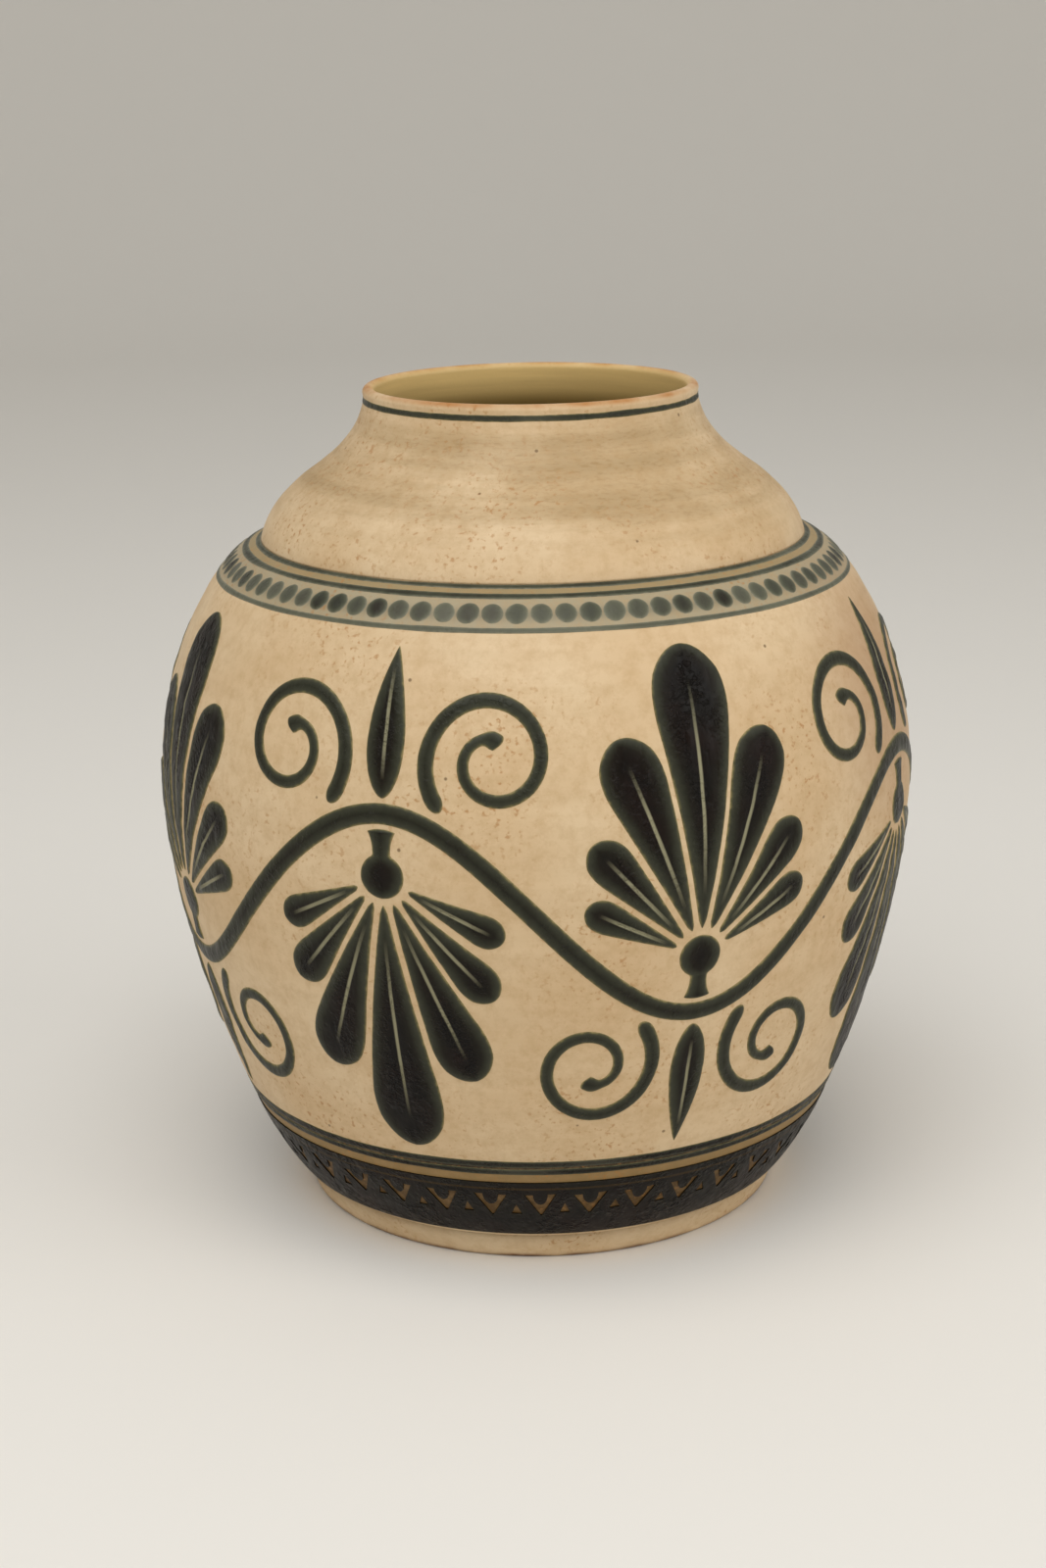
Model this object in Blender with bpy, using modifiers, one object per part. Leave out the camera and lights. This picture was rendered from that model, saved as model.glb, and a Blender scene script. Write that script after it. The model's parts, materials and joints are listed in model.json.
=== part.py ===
"""A hand-thrown stoneware vase with raised slip decoration.

A globular belly stands on a low foot ring and carries an ogee collar with a rolled lip. The three clay
sections are luted together at turned seats. Dark slip stands proud of the clay: lines, a row of beads,
a running scroll with palmettes, and a band with open chevrons above the foot.

Units are metres and +Z is up. The origin is on the axis, on the table under the foot ring.
Run with: blender --background --python part.py
"""

import bisect
import math

import bmesh
import bpy
from mathutils import Matrix, Vector
from mathutils.geometry import delaunay_2d_cdt, interpolate_bezier

# Clay: overall form
HEIGHT = 0.2800
LIP_RADIUS = 0.0561
LIP_THICKNESS = 0.0040
NECK_RADIUS = 0.0557
NECK_DROP = 0.0039
COLLAR_RADIUS = 0.0917
COLLAR_HEIGHT = 0.0500
LEDGE_RADIUS = 0.0972
LEDGE_FALL = 0.0026
BELLY_RADIUS = 0.1285
WIDEST_HEIGHT = 0.1492
FOOT_TOP_RADIUS = 0.0863
FOOT_BASE_RADIUS = 0.0815
FOOT_HEIGHT = 0.0099

# Clay: how full each curve is, as the length and lean of the pull at its ends
LOWER_FLARE = 0.0253
LOWER_FLARE_LEAN = math.radians(44.2)
LOWER_FULLNESS = 0.0482
UPPER_FULLNESS = 0.0400
SHOULDER_PULL = 0.0123
COLLAR_PULL = 0.0237
COLLAR_LEAN = math.radians(14.6)
NECK_PULL = 0.0243
NECK_LEAN = math.radians(11.2)

# Clay: walls and luted seats
BELLY_WALL = 0.0065
COLLAR_WALL = 0.0052
FLOOR_THICKNESS = 0.0090
FLOOR_FILLET = 0.0080
SEAT_WIDTH = 0.0072
SPIGOT_DEPTH = 0.0060
SPIGOT_WALL = 0.0040
FOOT_RING_WIDTH = 0.0110
FOOT_BOSS_DEPTH = 0.0020
FOOT_EDGE = 0.0009

# Slip: relief, and the film of air left between touching pieces
CLEARANCE = 0.0003
SLIP_RELIEF = 0.0006
STROKE_GAP = 0.0014
FACET_SAG = 0.0004

# Slip: lines and bands, measured along the wall
RIM_LINE_WIDTH = 0.0022
CREASE_GAP = 0.0007
SHOULDER_LINE_WIDTH = 0.0020
OCHRE_STRIPE = 0.0027
BEAD_STRIP = 0.0112
BEAD_COUNT = 86
BEAD_LENGTH = 0.0074
BEAD_NECK = 0.0012
FOOT_BAND_LOW = 0.0024
FOOT_BAND_HIGH = 0.0305
RESERVED_STRIPE = 0.0036
GROUND_LINE_WIDTH = 0.0026
GROUND_LINE_GAP = 0.0008

# Slip: chevrons left open in the foot band
CHEVRON_COUNT = 38
CHEVRON_WIDTH = 0.0108
CHEVRON_LENGTH = 0.0104
CHEVRON_NOTCH = 0.0048
BAND_HEADING = 0.0056

# Slip: running scroll with palmettes
WAVES = 4
SCROLL_SWING = 0.0340
STEM_WIDTH = 0.0066
FRIEZE_MARGIN = 0.0042
PALMETTE_WIDTH = 0.0780
PALMETTE_PETALS = 7
PALMETTE_STALK = 0.0150
STALK_WIDTH = 0.0070
PETAL_PITCH = math.radians(21.0)
PETAL_GAP = 0.0030
PETAL_NOTCH = 0.0260
PETAL_SHOULDER = 0.82
VOLUTE_OFFSET = 0.0190
VOLUTE_WIDTH = 0.0056
VOLUTE_END_WIDTH = 0.0036
VOLUTE_TURNS = 1.45
VOLUTE_EYE = 0.0052
VOLUTE_START = math.radians(225.0)
BUD_WIDTH = 0.0130
BUD_BLUNTNESS = 0.05
BUD_FULLNESS = 0.7
FRONT_ANGLE = math.radians(-112.0)

# Facets
SEGMENTS = 40
CURVE_STEPS = 6
HIDDEN_STEPS = 4
FINE_STEPS = 80
FACET_SIZE = 0.0150
FACET_MARGIN = 0.0068
BEAD_STATIONS = 3
STEM_STATIONS = 16
VOLUTE_STATIONS = 16
BUD_STATIONS = 5
MERGE = 0.00001


def clear_scene():
    for old in list(bpy.data.objects):
        bpy.data.objects.remove(old, do_unlink=True)


def new_collection(name):
    collection = bpy.data.collections.new(name)
    bpy.context.scene.collection.children.link(collection)
    return collection


def ceramic(name, colour, roughness):
    """A fired ceramic surface with one colour."""
    material = bpy.data.materials.new(name)
    material.use_nodes = True
    shader = material.node_tree.nodes["Principled BSDF"]
    shader.inputs["Base Color"].default_value = (*colour, 1.0)
    shader.inputs["Roughness"].default_value = roughness
    shader.inputs["Metallic"].default_value = 0.0
    material.diffuse_color = (*colour, 1.0)
    return material


clear_scene()
VASE = new_collection("stoneware_vase")
CUTTERS = new_collection("cutters")
CLAY = ceramic("buff_stoneware", (0.66, 0.46, 0.26), 0.45)
DARK_SLIP = ceramic("dark_slip", (0.020, 0.021, 0.016), 0.40)
GREY_SLIP = ceramic("grey_slip", (0.085, 0.087, 0.062), 0.42)


def add_object(name, mesh, collection):
    made = bpy.data.objects.new(name, mesh)
    collection.objects.link(made)
    return made


def add_piece(name, mesh, material):
    """One named sub-part of the vase, in its own material."""
    mesh.materials.append(material)
    return add_object(name, mesh, VASE)


class Wall:
    """A turned outer wall, measured along its profile from its lower end."""

    def __init__(self, outline):
        self.points = outline
        self.marks = [0.0]
        for low, high in zip(outline, outline[1:]):
            self.marks.append(self.marks[-1] + (high - low).length)
        self.length = self.marks[-1]

    def at(self, distance, lift=0.0):
        """The (radius, height) point at a distance along the wall, lifted off it."""
        last = len(self.points) - 2
        i = min(max(bisect.bisect_right(self.marks, distance) - 1, 0), last)
        low, high = self.points[i], self.points[i + 1]
        step = (high - low).normalized()
        outward = Vector((step.y, -step.x))
        return low + step * (distance - self.marks[i]) + outward * lift

    def slope(self, distance):
        """The upward direction along the wall at a distance."""
        return (self.at(distance + MERGE) - self.at(distance - MERGE)).normalized()


def lean(length, angle):
    """A pull that leans outwards from the vertical by an angle."""
    return Vector((length * math.sin(angle), length * math.cos(angle)))


SEAT_HEIGHT = HEIGHT - COLLAR_HEIGHT
FOOT_JOINT = Vector((FOOT_TOP_RADIUS, FOOT_HEIGHT))
WIDEST = Vector((BELLY_RADIUS, WIDEST_HEIGHT))
LEDGE_EDGE = Vector((LEDGE_RADIUS, SEAT_HEIGHT - LEDGE_FALL))
CREASE = Vector((COLLAR_RADIUS, SEAT_HEIGHT))
NECK = Vector((NECK_RADIUS, HEIGHT - NECK_DROP))


def belly_outline(steps):
    """Outside of the belly, from the foot joint up to the crease under the collar."""
    ledge_slope = (LEDGE_EDGE - CREASE).normalized()
    lower = interpolate_bezier(
        FOOT_JOINT,
        FOOT_JOINT + lean(LOWER_FLARE, LOWER_FLARE_LEAN),
        WIDEST - Vector((0.0, LOWER_FULLNESS)),
        WIDEST,
        steps + 1,
    )
    upper = interpolate_bezier(
        WIDEST,
        WIDEST + Vector((0.0, UPPER_FULLNESS)),
        LEDGE_EDGE + ledge_slope * SHOULDER_PULL,
        LEDGE_EDGE,
        steps + 1,
    )
    return lower + upper[1:] + [CREASE]


def collar_outline(steps):
    """Outside of the collar, from the crease up to the neck under the lip."""
    return interpolate_bezier(
        CREASE,
        CREASE + lean(COLLAR_PULL, -COLLAR_LEAN),
        NECK + lean(-NECK_PULL, -NECK_LEAN),
        NECK,
        steps + 1,
    )


def inside_of(outline, thickness):
    """The inner face of a wall of even thickness, in the order of its outline."""
    wall = Wall(outline)
    return [wall.at(mark, -thickness) for mark in wall.marks]


BELLY = Wall(belly_outline(FINE_STEPS))
COLLAR = Wall(collar_outline(FINE_STEPS))


def turned(name, profile, material, closed=True):
    """A ring or vessel turned from a profile that runs down its outer side."""
    mesh = bpy.data.meshes.new(name)
    corners = [(point.x, 0.0, point.y) for point in profile]
    edges = [(i, i + 1) for i in range(len(corners) - 1)]
    if closed:
        edges.append((len(corners) - 1, 0))
    mesh.from_pydata(corners, edges, [])
    piece = add_piece(name, mesh, material)
    screw = piece.modifiers.new("Turned", "SCREW")
    screw.steps = SEGMENTS
    screw.render_steps = SEGMENTS
    screw.use_merge_vertices = True
    screw.merge_threshold = MERGE
    screw.use_smooth_shade = True
    return piece


def build_foot_ring():
    """The ring that stands on the table, tapered inwards on the way down."""
    ring_bore = FOOT_TOP_RADIUS - FOOT_RING_WIDTH
    base_bore = FOOT_BASE_RADIUS - FOOT_RING_WIDTH + FOOT_EDGE
    profile = [
        Vector((FOOT_TOP_RADIUS, FOOT_HEIGHT)),
        Vector((FOOT_BASE_RADIUS + FOOT_EDGE, 2.0 * FOOT_EDGE)),
        Vector((FOOT_BASE_RADIUS - FOOT_EDGE, 0.0)),
        Vector((base_bore + FOOT_EDGE, 0.0)),
        Vector((base_bore, FOOT_EDGE)),
        Vector((ring_bore, FOOT_HEIGHT)),
    ]
    turned("foot_ring", profile, CLAY)


def build_belly():
    """The globe, with a floor, a boss that centres the foot ring and a mouth for the collar."""
    base = FOOT_HEIGHT + CLEARANCE
    floor = base + FLOOR_THICKNESS
    boss_radius = FOOT_TOP_RADIUS - FOOT_RING_WIDTH - CLEARANCE - FOOT_EDGE
    mouth = COLLAR_RADIUS - SEAT_WIDTH
    outline = belly_outline(CURVE_STEPS)
    inside = inside_of(belly_outline(HIDDEN_STEPS), BELLY_WALL)
    cavity = [p for p in inside if p.y > floor + FLOOR_FILLET]
    floor_edge = cavity[0].x - FLOOR_FILLET - BELLY_WALL
    profile = [Vector((0.0, floor)), Vector((floor_edge, floor))]
    profile += cavity
    profile += [Vector((mouth, cavity[-1].y)), Vector((mouth, SEAT_HEIGHT - CLEARANCE))]
    profile += [Vector((COLLAR_RADIUS + CLEARANCE, SEAT_HEIGHT - CLEARANCE))]
    profile += outline[-2:0:-1]
    profile += [
        Vector((FOOT_TOP_RADIUS + CLEARANCE, base)),
        Vector((boss_radius, base)),
        Vector((boss_radius - FOOT_EDGE, base - FOOT_BOSS_DEPTH)),
        Vector((0.0, base - FOOT_BOSS_DEPTH)),
    ]
    turned("belly", profile, CLAY, closed=False)


def lip_arc(steps):
    """The rolled lip, over the top from its outer side to its inner side."""
    roll = LIP_THICKNESS / 2.0
    centre = Vector((LIP_RADIUS - roll, HEIGHT - roll))
    turns = [math.pi * i / steps for i in range(steps + 1)]
    return [centre + Vector((math.cos(turn), math.sin(turn))) * roll for turn in turns]


def build_collar():
    """The ogee collar and lip, with a spigot that drops into the mouth of the belly."""
    spigot = COLLAR_RADIUS - SEAT_WIDTH - CLEARANCE
    outline = collar_outline(CURVE_STEPS)
    inside = inside_of(collar_outline(HIDDEN_STEPS), COLLAR_WALL)
    cavity = [p for p in inside if p.y > SEAT_HEIGHT + SPIGOT_WALL]
    profile = lip_arc(HIDDEN_STEPS)[::-1]
    profile += [NECK, COLLAR.at(COLLAR.length - RIM_LINE_WIDTH, 0.0)]  # a facet for the rim line to lie on
    profile += outline[-2::-1]
    profile += [
        Vector((spigot, SEAT_HEIGHT)),
        Vector((spigot, SEAT_HEIGHT - SPIGOT_DEPTH)),
        Vector((spigot - SPIGOT_WALL, SEAT_HEIGHT - SPIGOT_DEPTH)),
        Vector((spigot - SPIGOT_WALL, SEAT_HEIGHT)),
    ]
    profile += cavity
    turned("collar", profile, CLAY)


def slip_line(name, wall, centre, width, material):
    """A trailed line, standing on a wall as a low ridge."""
    half = width / 2.0
    profile = [
        wall.at(centre + half, CLEARANCE),
        wall.at(centre, CLEARANCE + SLIP_RELIEF),
        wall.at(centre - half, CLEARANCE),
    ]
    turned(name, profile, material)


# Places of the lines along the belly, down from the crease and up from the foot
UPPER_LINE = BELLY.length - CREASE_GAP - SHOULDER_LINE_WIDTH / 2.0
LOWER_LINE = UPPER_LINE - SHOULDER_LINE_WIDTH - OCHRE_STRIPE
BEAD_TOP = LOWER_LINE - SHOULDER_LINE_WIDTH / 2.0
BEAD_CENTRE = BEAD_TOP - BEAD_STRIP / 2.0
BEAD_LINE = BEAD_TOP - BEAD_STRIP - SHOULDER_LINE_WIDTH / 2.0
GROUND_LOW = FOOT_BAND_HIGH + RESERVED_STRIPE + GROUND_LINE_WIDTH / 2.0
GROUND_HIGH = GROUND_LOW + GROUND_LINE_WIDTH + GROUND_LINE_GAP

# The frieze fills the wall between the ground lines and the line under the beads
FRIEZE_LOW = GROUND_HIGH + GROUND_LINE_WIDTH / 2.0 + FRIEZE_MARGIN
FRIEZE_HIGH = BEAD_LINE - SHOULDER_LINE_WIDTH / 2.0 - FRIEZE_MARGIN
FRIEZE_MIDDLE = (FRIEZE_LOW + FRIEZE_HIGH) / 2.0
FRIEZE_REACH = (FRIEZE_HIGH - FRIEZE_LOW) / 2.0
ROUND = 2.0 * math.pi * BELLY_RADIUS


def build_lines():
    rim_place = COLLAR.length - RIM_LINE_WIDTH / 2.0
    slip_line("rim_line", COLLAR, rim_place, RIM_LINE_WIDTH, DARK_SLIP)
    slip_line("shoulder_line_upper", BELLY, UPPER_LINE, SHOULDER_LINE_WIDTH, GREY_SLIP)
    slip_line("shoulder_line_lower", BELLY, LOWER_LINE, SHOULDER_LINE_WIDTH, GREY_SLIP)
    slip_line("bead_line", BELLY, BEAD_LINE, SHOULDER_LINE_WIDTH, GREY_SLIP)
    slip_line("ground_line_upper", BELLY, GROUND_HIGH, GROUND_LINE_WIDTH, DARK_SLIP)
    slip_line("ground_line_lower", BELLY, GROUND_LOW, GROUND_LINE_WIDTH, DARK_SLIP)


def on_wall(drawn, lift):
    """Wraps a point of the flat drawing, (distance round, distance up), onto the belly."""
    place = BELLY.at(drawn.y, lift)
    angle = FRONT_ANGLE + drawn.x / BELLY_RADIUS
    return Vector((place.x * math.cos(angle), place.x * math.sin(angle), place.y))


def slip_skin(name, sheet, material):
    """Wraps a flat drawing onto the belly and thickens it to a skin of slip."""
    for corner in sheet.verts:
        corner.co = on_wall(corner.co, CLEARANCE + FACET_SAG)
    bmesh.ops.remove_doubles(sheet, verts=sheet.verts, dist=MERGE)
    mesh = bpy.data.meshes.new(name)
    sheet.to_mesh(mesh)
    sheet.free()
    mesh.shade_smooth()
    piece = add_piece(name, mesh, material)
    skin = piece.modifiers.new("Relief", "SOLIDIFY")
    skin.thickness = SLIP_RELIEF
    skin.offset = 1.0


def slip_patch(name, outline, material):
    """A patch of slip inside an outline, in facets small enough to follow the belly."""
    rim = []
    for start, end in zip(outline, outline[1:] + outline[:1]):
        steps = math.ceil((end - start).length / FACET_SIZE)
        rim += [start.lerp(end, step / steps) for step in range(steps)]
    low = Vector((min(p.x for p in rim), min(p.y for p in rim)))
    high = Vector((max(p.x for p in rim), max(p.y for p in rim)))
    rows = math.ceil((high.y - low.y) / FACET_SIZE)
    columns = math.ceil((high.x - low.x) / FACET_SIZE)
    inner = []
    for row in range(rows):
        for column in range(columns):
            point = low + Vector((column + 0.5 * (row % 2), row)) * FACET_SIZE
            if min((point - edge).length for edge in rim) > FACET_MARGIN:
                inner.append(point)
    inside_only = 1
    net = delaunay_2d_cdt(rim + inner, [], [list(range(len(rim)))], inside_only, MERGE)
    sheet = bmesh.new()
    corners = [sheet.verts.new(point.to_3d()) for point in net[0]]
    for facet in net[2]:
        sheet.faces.new([corners[i] for i in facet])
    loose = [corner for corner in corners if not corner.link_faces]
    bmesh.ops.delete(sheet, geom=loose, context="VERTS")
    slip_skin(name, sheet, material)


def slip_stroke(name, path, half_width, stations, material):
    """A stroke of slip that follows a path of the flat drawing."""
    nudge = 0.001
    sheet = bmesh.new()
    bmesh.ops.create_grid(sheet, x_segments=stations, y_segments=1, size=0.5)
    for corner in sheet.verts:
        share = corner.co.x + 0.5
        ahead = path(share + nudge) - path(share - nudge)
        across = Vector((-ahead.y, ahead.x)).normalized()
        drawn = path(share) + across * half_width(share) * 2.0 * corner.co.y
        corner.co = (drawn.x, drawn.y, 0.0)
    slip_skin(name, sheet, material)


def build_bead_row():
    """Touching beads, laid as one string round the shoulder."""

    def swell(share):
        phase = abs(math.sin(math.pi * BEAD_COUNT * share))
        return (BEAD_NECK + (BEAD_LENGTH - BEAD_NECK) * phase) / 2.0

    def ring(share):
        return Vector((share * ROUND, BEAD_CENTRE))

    slip_stroke("bead_row", ring, swell, BEAD_COUNT * BEAD_STATIONS, GREY_SLIP)


def stem_rise(distance):
    """Height of the scroll's stem over the frieze's middle, from the top of a wave."""
    return SCROLL_SWING * math.cos(2.0 * math.pi * WAVES * distance / ROUND)


def build_scroll_stem():
    """The wave that runs right round the belly."""

    def wave(share):
        return Vector((share * ROUND, FRIEZE_MIDDLE + stem_rise(share * ROUND)))

    slip_stroke("scroll_stem", wave, lambda share: STEM_WIDTH / 2.0, WAVES * STEM_STATIONS, DARK_SLIP)


def half_wave(number):
    """Places points beside one crest or trough: (across it, away from the frieze's middle)."""
    side = 1.0 if number % 2 == 0 else -1.0
    centre = Vector((number * ROUND / (2.0 * WAVES), FRIEZE_MIDDLE))
    return lambda across, out: centre + Vector((across, out)) * side


def palmette_outline(reach):
    """Outline of a fan of petals round its heart at (0, 0), growing along +Y."""
    half_pitch = PETAL_PITCH / 2.0
    first = -PETAL_PITCH * (PALMETTE_PETALS - 1) / 2.0
    outline = [Vector((side * STALK_WIDTH / 2.0, -PALMETTE_STALK)) for side in (1.0, -1.0)]

    def corner(turn, distance, side):
        """A point at a turn from the axis, moved half a gap away from the next petal."""
        along = Vector((math.sin(turn), math.cos(turn)))
        return along * distance - Vector((along.y, -along.x)) * side * PETAL_GAP / 2.0

    for petal in range(PALMETTE_PETALS):
        turn = first + petal * PETAL_PITCH
        length = 1.0 / math.hypot(math.cos(turn) / reach, 2.0 * math.sin(turn) / PALMETTE_WIDTH)
        for share in (-1.0, -0.6, 0.0, 0.6, 1.0):
            drop = 1.0 - (1.0 - PETAL_SHOULDER) * share**2
            outline.append(corner(turn + share * half_pitch, length * drop, math.trunc(share)))
        if petal < PALMETTE_PETALS - 1:
            outline.append(corner(turn + half_pitch, PETAL_NOTCH, 0))
    return outline


def build_palmette(number):
    """A fan of petals that grows from the inner side of a crest across the frieze."""
    place = half_wave(number)
    heart = SCROLL_SWING - STEM_WIDTH / 2.0 - STROKE_GAP - PALMETTE_STALK
    outline = palmette_outline(heart + FRIEZE_REACH)
    drawn = [place(-point.x, heart - point.y) for point in outline]
    slip_patch(f"palmette_{number + 1}", drawn, DARK_SLIP)


def build_volute(number, hand, name):
    """A spiral off the outer side of a crest, as large as its frieze and the next palmette let it be."""
    place = half_wave(number)
    root = stem_rise(VOLUTE_OFFSET) + STEM_WIDTH / 2.0 + STROKE_GAP + VOLUTE_WIDTH / 2.0
    room_out = FRIEZE_REACH - root - VOLUTE_WIDTH / 2.0
    next_palmette = ROUND / (2.0 * WAVES) - PALMETTE_WIDTH / 2.0
    room_across = next_palmette - STROKE_GAP - VOLUTE_WIDTH / 2.0 - VOLUTE_OFFSET
    radius_out = room_out / (1.0 - math.sin(VOLUTE_START))
    radius_across = room_across / (1.0 - math.cos(VOLUTE_START))
    radius = min(radius_out, radius_across)
    centre_out = root - radius * math.sin(VOLUTE_START)
    centre_across = VOLUTE_OFFSET - radius * math.cos(VOLUTE_START)

    def spiral(share):
        turn = VOLUTE_START - 2.0 * math.pi * VOLUTE_TURNS * share
        reach = radius + (VOLUTE_EYE - radius) * share
        across = centre_across + reach * math.cos(turn)
        return place(hand * across, centre_out + reach * math.sin(turn))

    def taper(share):
        return (VOLUTE_WIDTH + (VOLUTE_END_WIDTH - VOLUTE_WIDTH) * share) / 2.0

    slip_stroke(name, spiral, taper, VOLUTE_STATIONS, DARK_SLIP)


def build_bud(number):
    """A drop-shaped bud on the outer side of a crest, between its volutes."""
    place = half_wave(number)
    root = SCROLL_SWING + STEM_WIDTH / 2.0 + STROKE_GAP

    def axis(share):
        return place(0.0, root + (FRIEZE_REACH - root) * share)

    def swell(share):
        rise = min(max(share, BUD_BLUNTNESS), 1.0 - BUD_BLUNTNESS)
        return BUD_WIDTH / 2.0 * math.sin(math.pi * rise**BUD_FULLNESS)

    slip_stroke(f"bud_{number + 1}", axis, swell, BUD_STATIONS, DARK_SLIP)


def build_frieze():
    build_scroll_stem()
    for number in range(2 * WAVES):
        build_palmette(number)
        build_volute(number, -1.0, f"volute_{number + 1}_left")
        build_volute(number, 1.0, f"volute_{number + 1}_right")
        build_bud(number)


def prism(outline, depth):
    """A mesh extruded from a flat outline, on both sides of its plane."""
    curve = bpy.data.curves.new("outline", "CURVE")
    curve.dimensions = "2D"
    curve.fill_mode = "BOTH"
    curve.extrude = depth
    spline = curve.splines.new("POLY")
    spline.points.add(len(outline) - 1)
    for point, (x, y) in zip(spline.points, outline):
        point.co = (x, y, 0.0, 1.0)
    spline.use_cyclic_u = True
    drawn = add_object("outline", curve, CUTTERS)
    shape = drawn.evaluated_get(bpy.context.evaluated_depsgraph_get())
    mesh = bpy.data.meshes.new_from_object(shape)
    bpy.data.objects.remove(drawn, do_unlink=True)
    return mesh


def band_frame(angle, distance):
    """Axes on the foot band: across, up the wall and out of it."""
    place = BELLY.at(distance)
    slope = BELLY.slope(distance)
    around = Vector((-math.sin(angle), math.cos(angle), 0.0))
    radial = Vector((math.cos(angle), math.sin(angle), 0.0))
    up = radial * slope.x + Vector((0.0, 0.0, slope.y))
    axes = Matrix((around, up, around.cross(up))).transposed()
    origin = radial * place.x + Vector((0.0, 0.0, place.y))
    return Matrix.Translation(origin) @ axes.to_4x4()


def chevron_cutter():
    """The openings of the foot band, all in one cutter."""
    depth = 4.0 * (SLIP_RELIEF + CLEARANCE)
    half = CHEVRON_WIDTH / 2.0
    foot = CHEVRON_LENGTH
    chevron = prism([(-half, 0.0), (0.0, -foot), (half, 0.0), (0.0, -CHEVRON_NOTCH)], depth)
    heading = FOOT_BAND_HIGH - BAND_HEADING
    openings = bmesh.new()
    for step in range(CHEVRON_COUNT):
        already = len(openings.verts)
        openings.from_mesh(chevron)
        openings.verts.ensure_lookup_table()
        place = band_frame(FRONT_ANGLE + 2.0 * math.pi * step / CHEVRON_COUNT, heading)
        bmesh.ops.transform(openings, matrix=place, verts=openings.verts[already:])
    bmesh.ops.remove_doubles(openings, verts=openings.verts, dist=MERGE)
    bmesh.ops.recalc_face_normals(openings, faces=openings.faces)
    mesh = bpy.data.meshes.new("chevron_openings")
    openings.to_mesh(mesh)
    openings.free()
    cutter = add_object("chevron_openings", mesh, CUTTERS)
    cutter.hide_render = True
    cutter.display_type = "WIRE"
    return cutter


def build_foot_band():
    """The broad dark band above the foot, with its openings cut right through."""
    middle = (FOOT_BAND_LOW + FOOT_BAND_HIGH) / 2.0
    marks = [FOOT_BAND_HIGH, middle, FOOT_BAND_LOW]
    seat = CLEARANCE + FACET_SAG
    profile = [BELLY.at(mark, seat + SLIP_RELIEF) for mark in marks]
    profile += [BELLY.at(mark, seat) for mark in reversed(marks)]
    band = turned("foot_band", profile, DARK_SLIP)
    cut = band.modifiers.new("Openings", "BOOLEAN")
    cut.operation = "DIFFERENCE"
    cut.object = chevron_cutter()


build_foot_ring()
build_belly()
build_collar()
build_lines()
build_bead_row()
build_foot_band()
build_frieze()
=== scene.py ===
# %% [markdown]
# # A stoneware vase with raised slip
# The real pot is buff stoneware, thrown on a wheel in three sections and joined. Its ornament is slip: clay
# stirred to a cream, stained dark with iron, and laid on the damp wall in low relief before firing.
#
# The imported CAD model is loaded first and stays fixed. Each CAD node is then replaced by a finer piece in
# the same place. The plan has three parts: draw the wall of the pot once and spin the clay from it, draw
# each ornament on flat paper, and let Geometry Nodes wrap that paper round the wall.

import json
import math

import bmesh
import bpy
from mathutils import Matrix, Vector, noise
from mathutils.geometry import interpolate_bezier

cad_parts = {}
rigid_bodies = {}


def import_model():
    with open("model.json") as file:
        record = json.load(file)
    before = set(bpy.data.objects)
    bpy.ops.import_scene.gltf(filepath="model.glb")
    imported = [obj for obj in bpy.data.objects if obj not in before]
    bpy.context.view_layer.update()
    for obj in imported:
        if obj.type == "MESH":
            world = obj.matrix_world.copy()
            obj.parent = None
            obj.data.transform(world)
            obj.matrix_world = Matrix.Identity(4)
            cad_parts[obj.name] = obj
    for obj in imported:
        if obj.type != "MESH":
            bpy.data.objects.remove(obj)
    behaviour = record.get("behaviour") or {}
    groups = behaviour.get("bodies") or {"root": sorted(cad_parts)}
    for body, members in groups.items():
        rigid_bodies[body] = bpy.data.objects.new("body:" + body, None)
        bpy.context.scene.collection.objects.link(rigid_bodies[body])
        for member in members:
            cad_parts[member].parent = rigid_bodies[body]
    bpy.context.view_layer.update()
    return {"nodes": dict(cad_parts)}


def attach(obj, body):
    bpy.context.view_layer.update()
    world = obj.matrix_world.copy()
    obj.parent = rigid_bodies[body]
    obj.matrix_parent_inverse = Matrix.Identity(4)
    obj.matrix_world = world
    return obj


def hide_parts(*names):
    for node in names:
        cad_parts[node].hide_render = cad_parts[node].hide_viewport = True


for leftover in list(bpy.data.objects):
    bpy.data.objects.remove(leftover, do_unlink=True)

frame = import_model()
print("CAD nodes:", len(frame["nodes"]))

# %% [markdown]
# ## The wall of the pot
# A thrown pot is known by its profile, the line that its wall makes in a cut through the axis. This one
# could be traced as a long list of points, but a potter thinks of it as three pulls: out and up from the
# foot to the widest girth, in and over to a narrow ledge, then the S-curve of the collar up to the lip.
# Each pull is one Bezier curve with a length and a lean at each end, so the form can be tuned by hand.
# A profile point is (radius, height), in metres.

# %% Draw the profile
MM = 0.001
HEIGHT = 280.0 * MM
FOOT_JOINT = Vector((86.3, 9.9)) * MM
GIRTH = Vector((128.5, 149.2)) * MM
LEDGE = Vector((97.2, 227.4)) * MM
CREASE = Vector((91.7, 230.0)) * MM
NECK = Vector((55.7, 276.1)) * MM


def pull(length, lean):
    """A Bezier handle: its length in mm, and its lean outwards from the vertical in degrees."""
    return Vector((math.sin(math.radians(lean)), math.cos(math.radians(lean)))) * length * MM


def profile_curve(start, start_pull, end, end_pull, steps=90):
    """Points along one pull of the wall."""
    return interpolate_bezier(start, start + start_pull, end + end_pull, end, steps + 1)


ledge_slope = (LEDGE - CREASE).normalized()
lower_belly = profile_curve(FOOT_JOINT, pull(25.3, 44.2), GIRTH, pull(-48.2, 0.0))
upper_belly = profile_curve(GIRTH, pull(40.0, 0.0), LEDGE, ledge_slope * 12.3 * MM)
belly_outline = lower_belly + upper_belly[1:] + [CREASE]
collar_outline = profile_curve(CREASE, pull(23.7, -14.6), NECK, pull(-24.3, -11.2))


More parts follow.
